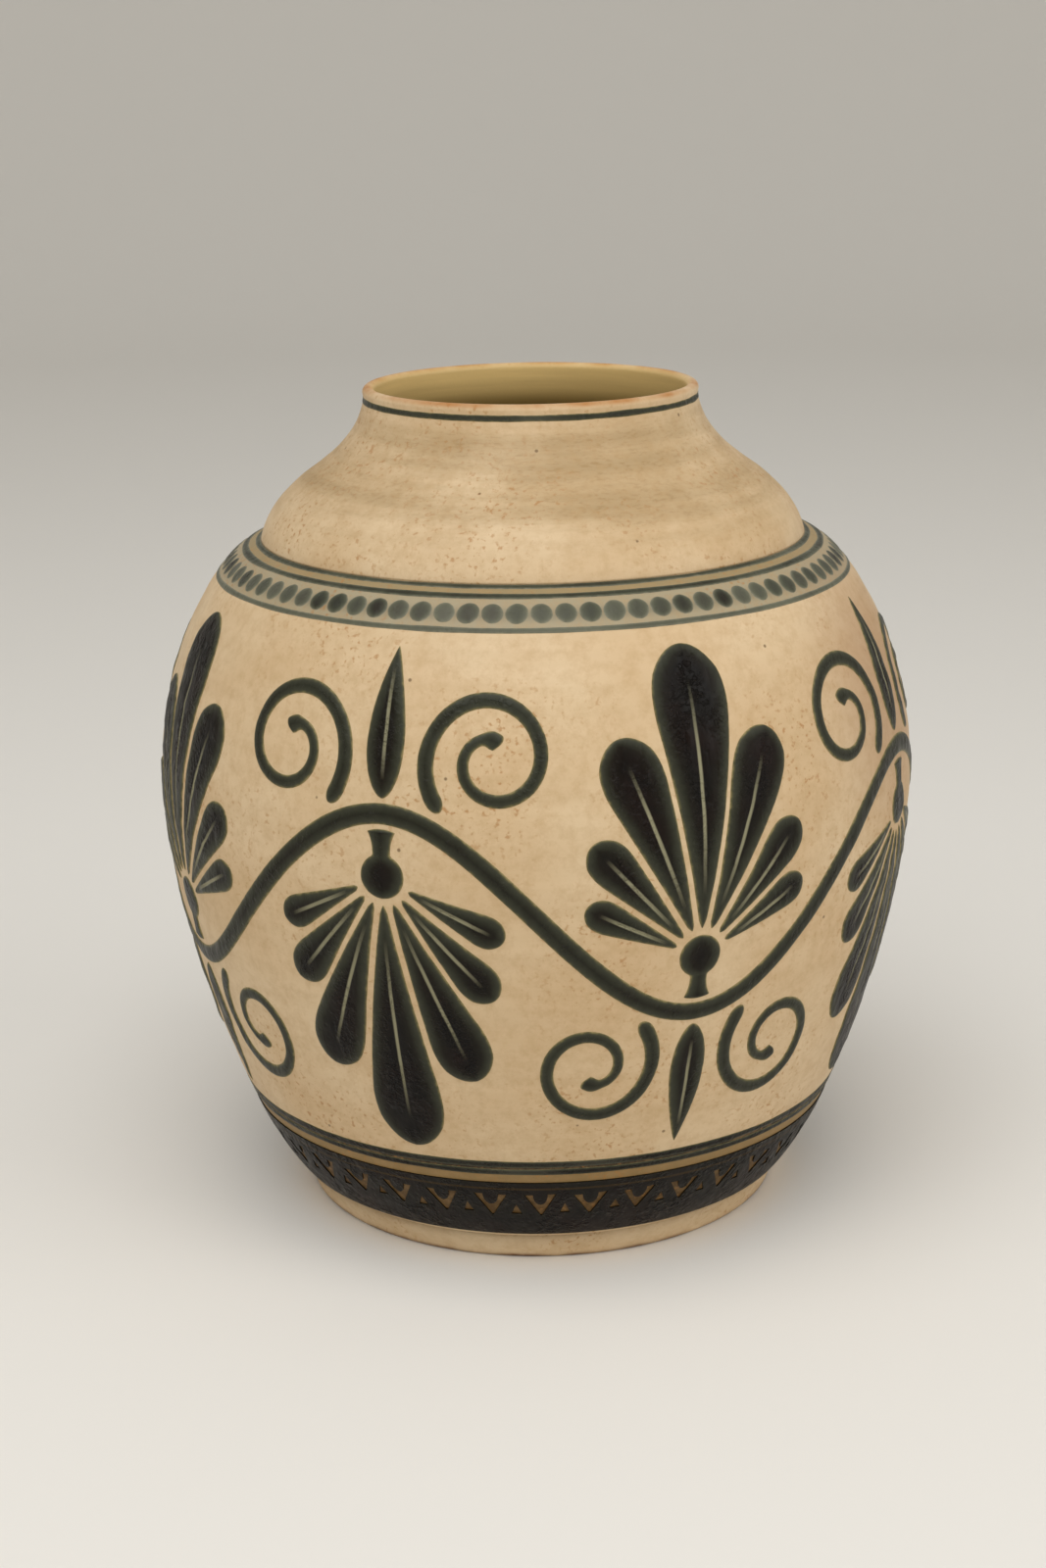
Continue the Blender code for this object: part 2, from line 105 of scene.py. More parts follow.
def outline_length(outline):
    """How long an outline is when it is walked from end to end."""
    return sum((high - low).length for low, high in zip(outline, outline[1:]))


RING_DEPTH = 0.10 * MM
RING_FADE = 25.0 * MM
RING_SWELLS = ((0.6, 3.1 * MM), (0.4, 1.7 * MM))


def ringed(outline):
    """The same outline with the faint rings that a potter's fingers leave, fading out at its ends."""
    total, walked, ringed_outline = outline_length(outline), 0.0, []
    for below, spot, above in zip(outline[:1] + outline, outline, outline[1:] + outline[-1:]):
        walked += (spot - below).length
        along = (above - below).normalized()
        fade = max(0.0, min(1.0, walked / RING_FADE, (total - walked) / RING_FADE))
        swell = sum(share * math.sin(walked / length) for share, length in RING_SWELLS)
        ringed_outline.append(spot + Vector((along.y, -along.x)) * RING_DEPTH * fade * swell)
    return ringed_outline


belly_outline, collar_outline = ringed(belly_outline), ringed(collar_outline)
BELLY_LENGTH = outline_length(belly_outline)
COLLAR_LENGTH = outline_length(collar_outline)
print(f"Belly wall {1000 * BELLY_LENGTH:.1f} mm, collar wall {1000 * COLLAR_LENGTH:.1f} mm along the profile")

# %% [markdown]
# ## Small helpers for materials and trees
# Colours are written as the hex values that a colour picker shows. Blender mixes light in linear values, so
# one function converts them. Shader trees and Geometry Nodes trees are built in the same way, and the
# second helper adds a node with its settings, and links or fills its inputs. The third turns the size of a
# pattern's features into a texture scale.


# %% Colour and node helpers
def linear(code, alpha=1.0):
    """A hex colour, as seen on a screen, in Blender's linear values."""
    shares = [int(code[i : i + 2], 16) / 255.0 for i in (1, 3, 5)]
    return (*(s / 12.92 if s <= 0.04045 else ((s + 0.055) / 1.055) ** 2.4 for s in shares), alpha)


def node(tree, kind, links=None, **settings):
    """Adds a node. An input is named or numbered, and takes a value, a node or a node's output."""
    made = tree.nodes.new(kind)
    for setting, value in settings.items():
        setattr(made, setting, value)
    for place, source in (links or {}).items():
        sockets = [socket for socket in made.inputs if socket.enabled]
        named = [socket for socket in sockets if socket.name == place]
        target = sockets[place] if isinstance(place, int) else named[0]
        if isinstance(source, bpy.types.Node):
            source = next(socket for socket in source.outputs if socket.enabled)
        if isinstance(source, bpy.types.NodeSocket):
            tree.links.new(source, target)
        else:
            target.default_value = source
    return made


def per_mm(size):
    """The texture scale that makes a pattern's features about this many millimetres across."""
    return 1.0 / (size * MM)


print("A grain of 4.5 mm has a texture scale of", round(per_mm(4.5), 1))

# %% [markdown]
# ## Buff stoneware
# Stoneware fires to a dense, warm buff body. Under a thin matt glaze it has a satin sheen, cloudy changes
# of tone, rusty freckles where iron in the clay bleeds through, and faint rings from the potter's fingers.
# The tone also changes with height: a brushed wash with small scuffs on the collar, an ochre stripe on the
# ledge, a cooler strip under the beads and a brown wash behind the base band. A dark stripe of painted
# shade fills the gap between the ground lines. An attribute called inside marks the olive glaze of the
# hollow, and below the neck the hollow is darkened with painted shade. One picture could be painted for all
# that, but patterns stay sharp at any distance. They are listed as layers, each with where it shows and its
# colour, and laid in order at the end. All read Object coordinates, so the colours stay put from every side.

# %% Start the stoneware material
# Matt glaze on buff clay gives the eye a broad, soft sheen and a warm, cloudy tone.
clay = bpy.data.materials.new("buff_stoneware")
clay.use_nodes = True
tree = clay.node_tree
clay_shader = tree.nodes["Principled BSDF"]
clay_shader.inputs["IOR"].default_value = 1.5
clay_shader.inputs["Specular IOR Level"].default_value = 0.3
coords = node(tree, "ShaderNodeTexCoord").outputs["Object"]
height = node(tree, "ShaderNodeSeparateXYZ", {0: coords}).outputs["Z"]
clouds = node(tree, "ShaderNodeTexNoise", {"Vector": coords, "Scale": per_mm(38.0), "Detail": 4.0})
cloud_share = node(tree, "ShaderNodeMapRange", {"Value": clouds, "From Min": 0.35, "From Max": 0.65})
BUFF = "#dac19c"
layers = [(cloud_share, "#d0b38b")]


def between(low, high, soft):
    """1 between two heights in mm and 0 outside, with soft edges."""
    rise = {"Value": height, "From Min": (low - soft) * MM, "From Max": (low + soft) * MM}
    fall = {"Value": height, "From Min": (high + soft) * MM, "From Max": (high - soft) * MM}
    above = node(tree, "ShaderNodeMapRange", rise, interpolation_type="SMOOTHSTEP")
    below = node(tree, "ShaderNodeMapRange", fall, interpolation_type="SMOOTHSTEP")
    return node(tree, "ShaderNodeMath", {0: above, 1: below}, operation="MULTIPLY")


print(f"{clay.name}: started on {BUFF}")

# %% Brushed wash
streak_scale = (per_mm(110.0), per_mm(110.0), per_mm(5.0))
streaks_at = node(tree, "ShaderNodeMapping", {"Vector": coords, "Scale": streak_scale})
streaks = node(tree, "ShaderNodeTexNoise", {"Vector": streaks_at, "Scale": 1.0, "Detail": 5.0})
streak_share = node(tree, "ShaderNodeMapRange", {"Value": streaks, "From Min": 0.42, "From Max": 0.70})
rings = node(tree, "ShaderNodeMath", {0: streak_share, 1: 0.20}, operation="MULTIPLY")
brushed = node(tree, "ShaderNodeMath", {0: streak_share, 1: cloud_share}, operation="ADD")
wash = node(tree, "ShaderNodeMath", {0: brushed, 1: between(243.0, 273.0, 8.0)}, operation="MULTIPLY")
wash_share = node(tree, "ShaderNodeMath", {0: wash, 1: 0.42}, operation="MULTIPLY")
layers += [(rings, "#b99c70"), (wash_share, "#a38a63")]
print(f"{clay.name}: {len(layers)} layers with the wash")

# %% Coloured stripes, painted shade between the ground lines, and scuffs on the collar
for low, high, soft, code, strength in (
    (227.6, 229.6, 0.4, "#8c7b56", 0.85),  # ochre on the ledge
    (218.9, 227.4, 0.4, "#9a9076", 0.85),  # grey strip under the beads
    (221.7, 224.3, 1.5, "#6f6b58", 0.60),  # slip that bled between the beads
    (40.7, 42.9, 0.4, "#2f2414", 1.0),  # painted shade in the gap between the ground lines
    (35.2, 40.0, 0.4, "#836839", 0.90),  # ochre over the base band
    (12.2, 35.0, 0.4, "#52390f", 1.0),  # brown wash in the band's openings
):
    stripe = node(tree, "ShaderNodeMath", {0: between(low, high, soft), 1: strength}, operation="MULTIPLY")
    layers.append((stripe, code))
scuff_scale = (per_mm(2.8), per_mm(2.8), per_mm(0.8))
scuffs_at = node(tree, "ShaderNodeMapping", {"Vector": coords, "Scale": scuff_scale})
scuffs = node(tree, "ShaderNodeTexNoise", {"Vector": scuffs_at, "Scale": 1.0, "Detail": 3.0})
scuff_map = {"Value": scuffs, "From Min": 0.50, "From Max": 0.74, "To Max": 0.34}
scuff_share = node(tree, "ShaderNodeMapRange", scuff_map)
scuffed = node(tree, "ShaderNodeMath", {0: scuff_share, 1: wash}, operation="MULTIPLY", use_clamp=True)
layers.append((scuffed, "#98784a"))
print(f"{clay.name}: {len(layers)} layers with stripes and scuffs")

# %% Freckles, specks and the kiln's blush
# Real freckles are finer than these, which are drawn as coarse as they need to be to show in the render.
BLUSH_AT = (116.0 * MM, -46.0 * MM, 186.0 * MM)
BLUSH_OUTER = 62.0 * MM
BLUSH_INNER = 8.0 * MM
grain_look = {"Vector": coords, "Scale": per_mm(4.5), "Detail": 6.0, "Roughness": 0.7}
grain = node(tree, "ShaderNodeTexNoise", grain_look)
grain_map = {"Value": grain, "From Min": 0.44, "From Max": 0.68, "To Max": 0.34}
layers.append((node(tree, "ShaderNodeMapRange", grain_map), "#b08d5d"))
freckles = node(tree, "ShaderNodeTexNoise", {"Vector": coords, "Scale": per_mm(1.7), "Detail": 2.0})
freckle_share = node(tree, "ShaderNodeMapRange", {"Value": freckles, "From Min": 0.58, "From Max": 0.70})
patches = node(tree, "ShaderNodeTexNoise", {"Vector": coords, "Scale": per_mm(42.0), "Detail": 3.0})
patch_map = {"Value": patches, "From Min": 0.42, "From Max": 0.62, "To Max": 0.66}
patch_share = node(tree, "ShaderNodeMapRange", patch_map)
rust = node(tree, "ShaderNodeMath", {0: freckle_share, 1: patch_share}, operation="MULTIPLY")
cells = node(tree, "ShaderNodeTexVoronoi", {"Vector": coords, "Scale": per_mm(14.0)})
speck = {"Value": cells.outputs["Distance"], "From Min": 0.05, "From Max": 0.03, "To Max": 0.8}
blush_from = node(tree, "ShaderNodeVectorMath", {0: coords, 1: BLUSH_AT}, operation="DISTANCE")
blush_away = blush_from.outputs["Value"]
blush = {"Value": blush_away, "From Min": BLUSH_OUTER, "From Max": BLUSH_INNER, "To Max": 0.55}
layers += [
    (rust, "#a8743a"),
    (node(tree, "ShaderNodeMapRange", speck), "#6f5638"),
    (node(tree, "ShaderNodeMapRange", blush, interpolation_type="SMOOTHSTEP"), "#a67d5c"),
]
print(f"{clay.name}: {len(layers)} layers with freckles, specks and blush")

# %% Toasted edges, the glaze inside, and painted shade in the hollow
toast_noise = node(tree, "ShaderNodeTexNoise", {"Vector": coords, "Scale": per_mm(14.0), "Detail": 3.0})
toast_level = node(tree, "ShaderNodeMapRange", {"Value": toast_noise, "From Min": 0.3, "From Max": 0.7})
for low, high, code in ((278.9, 281.0, "#b0763c"), (-1.0, 1.3, "#6d4526")):
    toast = node(tree, "ShaderNodeMath", {0: between(low, high, 0.7), 1: toast_level}, operation="MULTIPLY")
    layers.append((toast, code))
glazed = node(tree, "ShaderNodeAttribute", attribute_name="inside").outputs["Fac"]
# Below the neck the glaze of the hollow is darkened as painted shade.
painted_shade_inside = node(tree, "ShaderNodeMath", {0: between(0.0, 270.0, 6.0), 1: glazed}, operation="MULTIPLY")
runs = node(tree, "ShaderNodeMath", {0: rings, 1: glazed}, operation="MULTIPLY")
run_share = node(tree, "ShaderNodeMath", {0: runs, 1: 1.3}, operation="MULTIPLY")
layers += [(glazed, "#e8c682"), (painted_shade_inside, "#806632"), (run_share, "#6f5a2c")]
print(f"{clay.name}: {len(layers)} layers with the edges and the glaze")

# %% Lay the layers, and give the clay its sheen
body = linear(BUFF)
for where, code in layers:
    links = {"Factor": where, "A": body, "B": linear(code)}
    body = node(tree, "ShaderNodeMix", links, data_type="RGBA")
tree.links.new(body.outputs["Result"], clay_shader.inputs["Base Color"])
sheen_map = {"Value": clouds, "From Min": 0.3, "From Max": 0.7, "To Min": 0.48, "To Max": 0.62}
tree.links.new(node(tree, "ShaderNodeMapRange", sheen_map).outputs["Result"], clay_shader.inputs["Roughness"])
grit = node(tree, "ShaderNodeTexNoise", {"Vector": coords, "Scale": per_mm(1.1), "Detail": 2.0})
grit_bump = node(tree, "ShaderNodeBump", {"Height": grit, "Strength": 0.12, "Distance": 0.3 * MM})
ring_bump = {"Height": streaks, "Strength": 0.25, "Distance": 0.4 * MM, "Normal": grit_bump}
tree.links.new(node(tree, "ShaderNodeBump", ring_bump).outputs["Normal"], clay_shader.inputs["Normal"])
print(f"{clay.name}: {len(tree.nodes)} nodes")

# %% [markdown]
# ## Throwing the clay
# A lathe shape can come from a Screw modifier or from bmesh's spin. Here the rings are laid out directly,
# because each ring also carries the inside mark that the material reads. A profile goes up one side of the
# wall and back down the other. Where it touches the axis, the ring closes to a single point.


# %% Spin a profile
SEGMENTS = 256


def spin(profile, inside):
    """A mesh turned from a closed profile, with the inside mark kept for each of its points."""
    turned = bmesh.new()
    mark = turned.verts.layers.float.new("inside")
    rings = []
    for spot, share in zip(profile, inside):
        ring = []
        for step in range(SEGMENTS):
            angle = 2.0 * math.pi * step / SEGMENTS
            ring.append(turned.verts.new((spot.x * math.cos(angle), spot.x * math.sin(angle), spot.y)))
            ring[-1][mark] = share
        rings.append(ring)
    for low, high in zip(rings, rings[1:] + rings[:1]):
        for here, after in zip(range(SEGMENTS), [*range(1, SEGMENTS), 0]):
            turned.faces.new((low[here], low[after], high[after], high[here]))
    bmesh.ops.remove_doubles(turned, verts=turned.verts, dist=0.001 * MM)
    bmesh.ops.delete(turned, geom=[edge for edge in turned.edges if edge.is_wire], context="EDGES")
    bmesh.ops.recalc_face_normals(turned, faces=turned.faces)
    return turned


def add_piece(name, mesh, cad_node):
    """Puts a finished mesh in the scene in place of a CAD node."""
    piece = bpy.data.objects.new(name, mesh)
    bpy.context.scene.collection.objects.link(piece)
    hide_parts(cad_node)
    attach(piece, "root")
    return piece


def throw(cad_node, profile, inside):
    """Makes a clay section from its profile."""
    turned = spin(profile, inside)
    mesh = bpy.data.meshes.new(cad_node + "_clay")
    turned.to_mesh(mesh)
    turned.free()
    mesh.shade_smooth()
    mesh.materials.append(clay)
    add_piece(cad_node + "_clay", mesh, cad_node)
    print(f"{cad_node}: {len(mesh.polygons)} faces")


print(f"Clay is turned in {SEGMENTS} steps")

# %% Walls and rounded corners
WALL = 6.5 * MM
COLLAR_WALL = 5.2 * MM


def inner_side(outline, thickness):
    """The inner face of a wall, from its lower end to its upper end."""
    inner = []
    for below, spot, above in zip(outline, outline[1:], outline[2:]):
        step = (above - below).normalized()
        inner.append(spot - Vector((step.y, -step.x)) * thickness)
    return inner


def rounded_corner(centre, radius, start, end, steps=6):
    """Points on an arc, with its start and end given in degrees."""
    turns = [math.radians(start + (end - start) * step / steps) for step in range(steps + 1)]
    return [centre + Vector((math.cos(turn), math.sin(turn))) * radius for turn in turns]


print(f"Walls of {1000 * WALL:.1f} mm in the belly and {1000 * COLLAR_WALL:.1f} mm in the collar")

# %% Foot ring
OUTER_EDGE = Vector((80.9, 1.5)) * MM
OUTER_EDGE_ROUND = 1.5 * MM
INNER_EDGE = Vector((72.9, 1.2)) * MM
INNER_EDGE_ROUND = 1.2 * MM
INNER_TOP = Vector((75.3, 9.9)) * MM
foot_profile = [FOOT_JOINT]
foot_profile += rounded_corner(OUTER_EDGE, OUTER_EDGE_ROUND, 22.0, -90.0)
foot_profile += rounded_corner(INNER_EDGE, INNER_EDGE_ROUND, -90.0, -180.0)
foot_profile += [INNER_TOP]
throw("foot_ring", foot_profile, [0.0] * len(foot_profile))

# %% Belly
FLOOR = 19.2 * MM
FLOOR_ROUND = 9.0 * MM
WALL_FROM = FLOOR + 8.0 * MM
WALL_TO = LEDGE.y - WALL
MOUTH_LOW = Vector((84.5, 222.0)) * MM
MOUTH_HIGH = Vector((84.5, 229.9)) * MM
FOOT_BOSS = [Vector((74.5, 9.9)) * MM, Vector((74.0, 8.2)) * MM, Vector((0.0, 8.2)) * MM]
hollow_wall = [spot for spot in inner_side(belly_outline, WALL) if WALL_FROM < spot.y < WALL_TO]
floor_centre = Vector((hollow_wall[0].x - FLOOR_ROUND, FLOOR + FLOOR_ROUND))
floor_curve = rounded_corner(floor_centre, FLOOR_ROUND, -90.0, -20.0)
hollow = [Vector((0.0, FLOOR)), *floor_curve, *hollow_wall, MOUTH_LOW]
belly_profile = [*hollow, MOUTH_HIGH, *belly_outline[::-1], *FOOT_BOSS]
throw("belly", belly_profile, [1.0] * len(hollow) + [0.0] * (len(belly_profile) - len(hollow)))

# %% Collar
LIP_RADIUS = 56.1 * MM
LIP_ROLL = 2.0 * MM
LIP_STEPS = 16
COLLAR_FROM = CREASE.y + 2.0 * MM
COLLAR_TO = 252.0 * MM
SPIGOT = [Vector((80.2, 224.0)) * MM, Vector((84.2, 224.0)) * MM, Vector((84.2, 230.0)) * MM]
SPIGOT_MARKS = [1.0, 1.0, 0.0]
lip_centre = Vector((LIP_RADIUS - LIP_ROLL, HEIGHT - LIP_ROLL))
lip = rounded_corner(lip_centre, LIP_ROLL, 0.0, 180.0, LIP_STEPS)
under_collar = inner_side(collar_outline, COLLAR_WALL)[::-1]
under_collar = [spot for spot in under_collar if COLLAR_FROM < spot.y < COLLAR_TO]
throat_curve = profile_curve(lip[-1], pull(-20.0, 0.0), under_collar[0], pull(8.0, -48.0), 24)
throat = throat_curve[1:-1] + under_collar
lip_marks = [min(1.0, 2.0 * max(0.0, step / LIP_STEPS - 0.5)) for step in range(LIP_STEPS + 1)]
collar_marks = [0.0] * len(collar_outline) + lip_marks + [1.0] * len(throat) + SPIGOT_MARKS
throw("collar", collar_outline + lip + throat + SPIGOT, collar_marks)

# %% [markdown]
# ## Paper to wall
# The ornament is drawn flat, as on a strip of paper: X runs round the pot, Y runs up along the wall and Z
# is how far the slip stands off it. Wrapping the paper is one rule for every piece, so it is a Geometry
# Nodes tree: Sample Curve finds the wall's place and slope at the distance Y, the lift goes out along the
# wall's normal, and X turns the point round the axis. Both ends of the paper then meet and are welded.


# %% The wall as a curve
def add_wall(name, outline):
    """A profile as a curve that a tree can sample. It is taken out again at the end."""
    curve = bpy.data.curves.new(name, "CURVE")
    curve.dimensions = "3D"
    spline = curve.splines.new("POLY")
    spline.points.add(len(outline) - 1)
    for point, spot in zip(spline.points, outline):
        point.co = (spot.x, 0.0, spot.y, 1.0)
    wall = bpy.data.objects.new(name, curve)
    bpy.context.scene.collection.objects.link(wall)
    return wall


belly_wall = add_wall("belly_wall", belly_outline)
collar_wall = add_wall("collar_wall", collar_outline + lip[:1])
print("Walls to lay paper on:", belly_wall.name, "and", collar_wall.name)

# %% The tree that lays paper on the wall
WELD_DISTANCE = 0.005 * MM
LAY_INPUTS = {"Geometry": "Geometry", "Wall": "Object", "Girth": "Float", "Front": "Float"}


def new_tree(name, inputs):
    """A Geometry Nodes tree with named inputs, and what its input node gives."""
    tree = bpy.data.node_groups.new(name, "GeometryNodeTree")
    tree.interface.new_socket("Geometry", in_out="OUTPUT", socket_type="NodeSocketGeometry")
    for label, kind in inputs.items():
        tree.interface.new_socket(label, in_out="INPUT", socket_type="NodeSocket" + kind)
    return tree, tree.nodes.new("NodeGroupInput").outputs


lay_tree, given = new_tree("Lay on the wall", LAY_INPUTS)
position = node(lay_tree, "GeometryNodeInputPosition")
paper = node(lay_tree, "ShaderNodeSeparateXYZ", {0: position}).outputs
wall_curve = node(lay_tree, "GeometryNodeObjectInfo", {"Object": given["Wall"]}).outputs["Geometry"]
links = {"Curves": wall_curve, "Length": paper["Y"]}
on_curve = node(lay_tree, "GeometryNodeSampleCurve", links, mode="LENGTH").outputs
place = node(lay_tree, "ShaderNodeSeparateXYZ", {0: on_curve["Position"]}).outputs
slope = node(lay_tree, "ShaderNodeSeparateXYZ", {0: on_curve["Tangent"]}).outputs
links = {0: slope["Z"], 1: paper["Z"], 2: place["X"]}
radius = node(lay_tree, "ShaderNodeMath", links, operation="MULTIPLY_ADD")
drop = node(lay_tree, "ShaderNodeMath", {0: slope["X"], 1: paper["Z"]}, operation="MULTIPLY")
rise = node(lay_tree, "ShaderNodeMath", {0: place["Z"], 1: drop}, operation="SUBTRACT")
turn = node(lay_tree, "ShaderNodeMath", {0: paper["X"], 1: given["Girth"]}, operation="DIVIDE")
angle = node(lay_tree, "ShaderNodeMath", {0: turn, 1: given["Front"]}, operation="ADD")
cut_point = node(lay_tree, "ShaderNodeCombineXYZ", {"X": radius, "Z": rise})
links = {"Vector": cut_point, "Angle": angle}
turned_point = node(lay_tree, "ShaderNodeVectorRotate", links, rotation_type="Z_AXIS")
links = {"Geometry": given["Geometry"], "Position": turned_point}
laid = node(lay_tree, "GeometryNodeSetPosition", links)
links = {"Geometry": laid, "Distance": WELD_DISTANCE}
welded = node(lay_tree, "GeometryNodeMergeByDistance", links)
node(lay_tree, "NodeGroupOutput", {0: welded})
print(f"{lay_tree.name}: {len(lay_tree.nodes)} nodes")

# %% [markdown]
# ## One stroke of slip
# Slip comes off a brush or a trailer as a stroke: it follows a path, swells and thins, has round ends, and
# surface tension rounds its edges. So a stroke is a rail, which is a row of points that carry a half width,
# and a tree that sweeps a flat loop along it. The upper half of the loop is domed by its distance from the
# edge, and the lower half sinks a little into the wall, so each stroke is a closed body. Noise makes the
# dome uneven, and a rib presses a groove down its middle. The distances are kept as attributes, because
# the colour of slip depends on how thick it lies.

# %% Sweep the stroke
MIDDLE_SHARE = 0.4
STROKE_INPUTS = {
    **LAY_INPUTS,
    "Relief": "Float",
    "Edge": "Float",
    "Sink": "Float",
    "Uneven": "Float",
    "Around": "Int",
    "Caps": "Bool",
    "Material": "Material",
}
stroke_tree, given = new_tree("Slip stroke", STROKE_INPUTS)
rails = node(stroke_tree, "GeometryNodeMeshToCurve", {"Mesh": given["Geometry"]})
level = node(stroke_tree, "GeometryNodeSetCurveNormal", {"Curve": rails}, mode="Z_UP")
loop = node(stroke_tree, "GeometryNodeCurvePrimitiveCircle", {"Resolution": given["Around"], "Radius": 1.0})
position = node(stroke_tree, "GeometryNodeInputPosition")
spot = node(stroke_tree, "ShaderNodeSeparateXYZ", {0: position}).outputs
# Points near the loop's middle are drawn in towards it, so that a rib's groove comes out narrow.
aside = node(stroke_tree, "ShaderNodeMath", {0: spot["X"]}, operation="ABSOLUTE")
links = {0: aside, 1: MIDDLE_SHARE}
drawn_in = node(stroke_tree, "ShaderNodeMath", links, operation="DIVIDE", use_clamp=True)
side = node(stroke_tree, "ShaderNodeMath", {0: spot["X"], 1: drawn_in}, operation="MULTIPLY")
for label, source in (("side", side), ("upper", spot["Y"])):
    links = {"Geometry": loop, "Name": label, "Value": source}
    loop = node(stroke_tree, "GeometryNodeStoreNamedAttribute", links, data_type="FLOAT", domain="POINT")
flat = node(stroke_tree, "ShaderNodeCombineXYZ", {"X": side})
loop = node(stroke_tree, "GeometryNodeSetPosition", {"Geometry": loop, "Position": flat})
kept = {
    label: node(stroke_tree, "GeometryNodeInputNamedAttribute", {"Name": label}, data_type="FLOAT")
    for label in ("side", "upper", "half_width", "hug", "rib")
}
links = {"Curve": level, "Profile Curve": loop, "Scale": kept["half_width"], "Fill Caps": given["Caps"]}
swept = node(stroke_tree, "GeometryNodeCurveToMesh", links)
print(f"{stroke_tree.name}: {len(stroke_tree.nodes)} nodes for the sweep")

# %% The dome of a stroke
aside = node(stroke_tree, "ShaderNodeMath", {0: kept["side"]}, operation="ABSOLUTE")
inward = node(stroke_tree, "ShaderNodeMath", {0: 1.0, 1: aside}, operation="SUBTRACT")
reach = node(stroke_tree, "ShaderNodeMath", {0: kept["half_width"], 1: kept["hug"]}, operation="MULTIPLY")
edge = node(stroke_tree, "ShaderNodeMath", {0: inward, 1: reach}, operation="MULTIPLY")
links = {0: edge, 1: given["Edge"]}
rim_share = node(stroke_tree, "ShaderNodeMath", links, operation="DIVIDE", use_clamp=True)
short = node(stroke_tree, "ShaderNodeMath", {0: 1.0, 1: rim_share}, operation="SUBTRACT")
squared = node(stroke_tree, "ShaderNodeMath", {0: short, 1: short}, operation="MULTIPLY")
left = node(stroke_tree, "ShaderNodeMath", {0: 1.0, 1: squared}, operation="SUBTRACT")
dome = node(stroke_tree, "ShaderNodeMath", {0: left}, operation="SQRT")
full = node(stroke_tree, "ShaderNodeMath", {0: given["Relief"], 1: given["Sink"]}, operation="ADD")
raised = node(stroke_tree, "ShaderNodeMath", {0: dome, 1: full}, operation="MULTIPLY")
top = node(stroke_tree, "ShaderNodeMath", {0: raised, 1: given["Sink"]}, operation="SUBTRACT")
deeper = node(stroke_tree, "ShaderNodeMath", {0: rim_share, 1: 1.0}, operation="ADD")
depth = node(stroke_tree, "ShaderNodeMath", {0: deeper, 1: given["Sink"]}, operation="MULTIPLY")
bottom = node(stroke_tree, "ShaderNodeMath", {0: depth, 1: -1.0}, operation="MULTIPLY")
print(f"{stroke_tree.name}: {len(stroke_tree.nodes)} nodes with the dome")

# %% Lumps, and the groove of a rib
LUMP_SIZE = 4.0
GROOVE_DEPTH = 0.35 * MM
NEAR_MIDDLE = 0.02
# The lumps are read on a drum as wide as the girth, so that they meet where the paper's ends do.
turn = node(stroke_tree, "ShaderNodeMath", {0: spot["X"], 1: given["Girth"]}, operation="DIVIDE")
start = node(stroke_tree, "ShaderNodeCombineXYZ", {"X": given["Girth"], "Z": spot["Y"]})
links = {"Vector": start, "Angle": turn}
drum = node(stroke_tree, "ShaderNodeVectorRotate", links, rotation_type="Z_AXIS")
links = {"Vector": drum, "Scale": per_mm(LUMP_SIZE), "Detail": 1.0}
lumps = node(stroke_tree, "ShaderNodeTexNoise", links)
lump = node(stroke_tree, "ShaderNodeMapRange", {"Value": lumps, "To Min": -0.5, "To Max": 0.5})
uneven = node(stroke_tree, "ShaderNodeMath", {0: given["Uneven"], 1: rim_share}, operation="MULTIPLY")
top = node(stroke_tree, "ShaderNodeMath", {0: lump, 1: uneven, 2: top}, operation="MULTIPLY_ADD")
links = {0: kept["side"], 1: 0.0, 2: NEAR_MIDDLE}
middle = node(stroke_tree, "ShaderNodeMath", links, operation="COMPARE")
pressed = node(stroke_tree, "ShaderNodeMath", {0: middle, 1: kept["rib"]}, operation="MULTIPLY")
links = {0: pressed, 1: -GROOVE_DEPTH, 2: top}
top = node(stroke_tree, "ShaderNodeMath", links, operation="MULTIPLY_ADD")
print(f"{stroke_tree.name}: {len(stroke_tree.nodes)} nodes with lumps and rib")

# %% Lay the stroke on the wall
is_upper = node(stroke_tree, "FunctionNodeCompare", {0: kept["upper"], 1: 0.0}, operation="LESS_THAN")
links = {"Switch": is_upper, "False": bottom, "True": top}
lift = node(stroke_tree, "GeometryNodeSwitch", links, input_type="FLOAT")
across = node(stroke_tree, "ShaderNodeMath", {0: kept["side"], 1: kept["half_width"]}, operation="MULTIPLY")
for label, source in (("edge", edge), ("across", across)):
    links = {"Geometry": swept, "Name": label, "Value": source}
    swept = node(stroke_tree, "GeometryNodeStoreNamedAttribute", links, data_type="FLOAT", domain="POINT")
domed_at = node(stroke_tree, "ShaderNodeCombineXYZ", {"X": spot["X"], "Y": spot["Y"], "Z": lift})
domed = node(stroke_tree, "GeometryNodeSetPosition", {"Geometry": swept, "Position": domed_at})
links = {**{label: given[label] for label in LAY_INPUTS}, "Geometry": domed}
on_wall = node(stroke_tree, "GeometryNodeGroup", links, node_tree=lay_tree)
smooth = node(stroke_tree, "GeometryNodeSetShadeSmooth", {"Geometry": on_wall})
real = node(stroke_tree, "GeometryNodeRealizeInstances", {"Geometry": smooth})
finished = node(stroke_tree, "GeometryNodeSetMaterial", {"Geometry": real, "Material": given["Material"]})
node(stroke_tree, "NodeGroupOutput", {0: finished})
print(f"{stroke_tree.name}: {len(stroke_tree.nodes)} nodes")

# %% [markdown]
# ## Iron slip, dark and grey
# Iron slip fires green-black where it lies thick and turns grey-green where it thins out, so its edges look
# soft on the pale clay. The edge attribute, the distance in from the stroke's border, drives that change.
# Thick slip also shows brown patches, pits, brush drag and a blistered crust. A pressed rib comes out paler,
# and a thin brown line is spared near the top of the base band. The same recipe with paler colours and
# hardly any crust gives the grey slip of the thin lines and beads, and a tone attribute lets each bead
# differ a little.

# %% How deep a point lies in the slip
EDGE_WAVER = 0.22 * MM


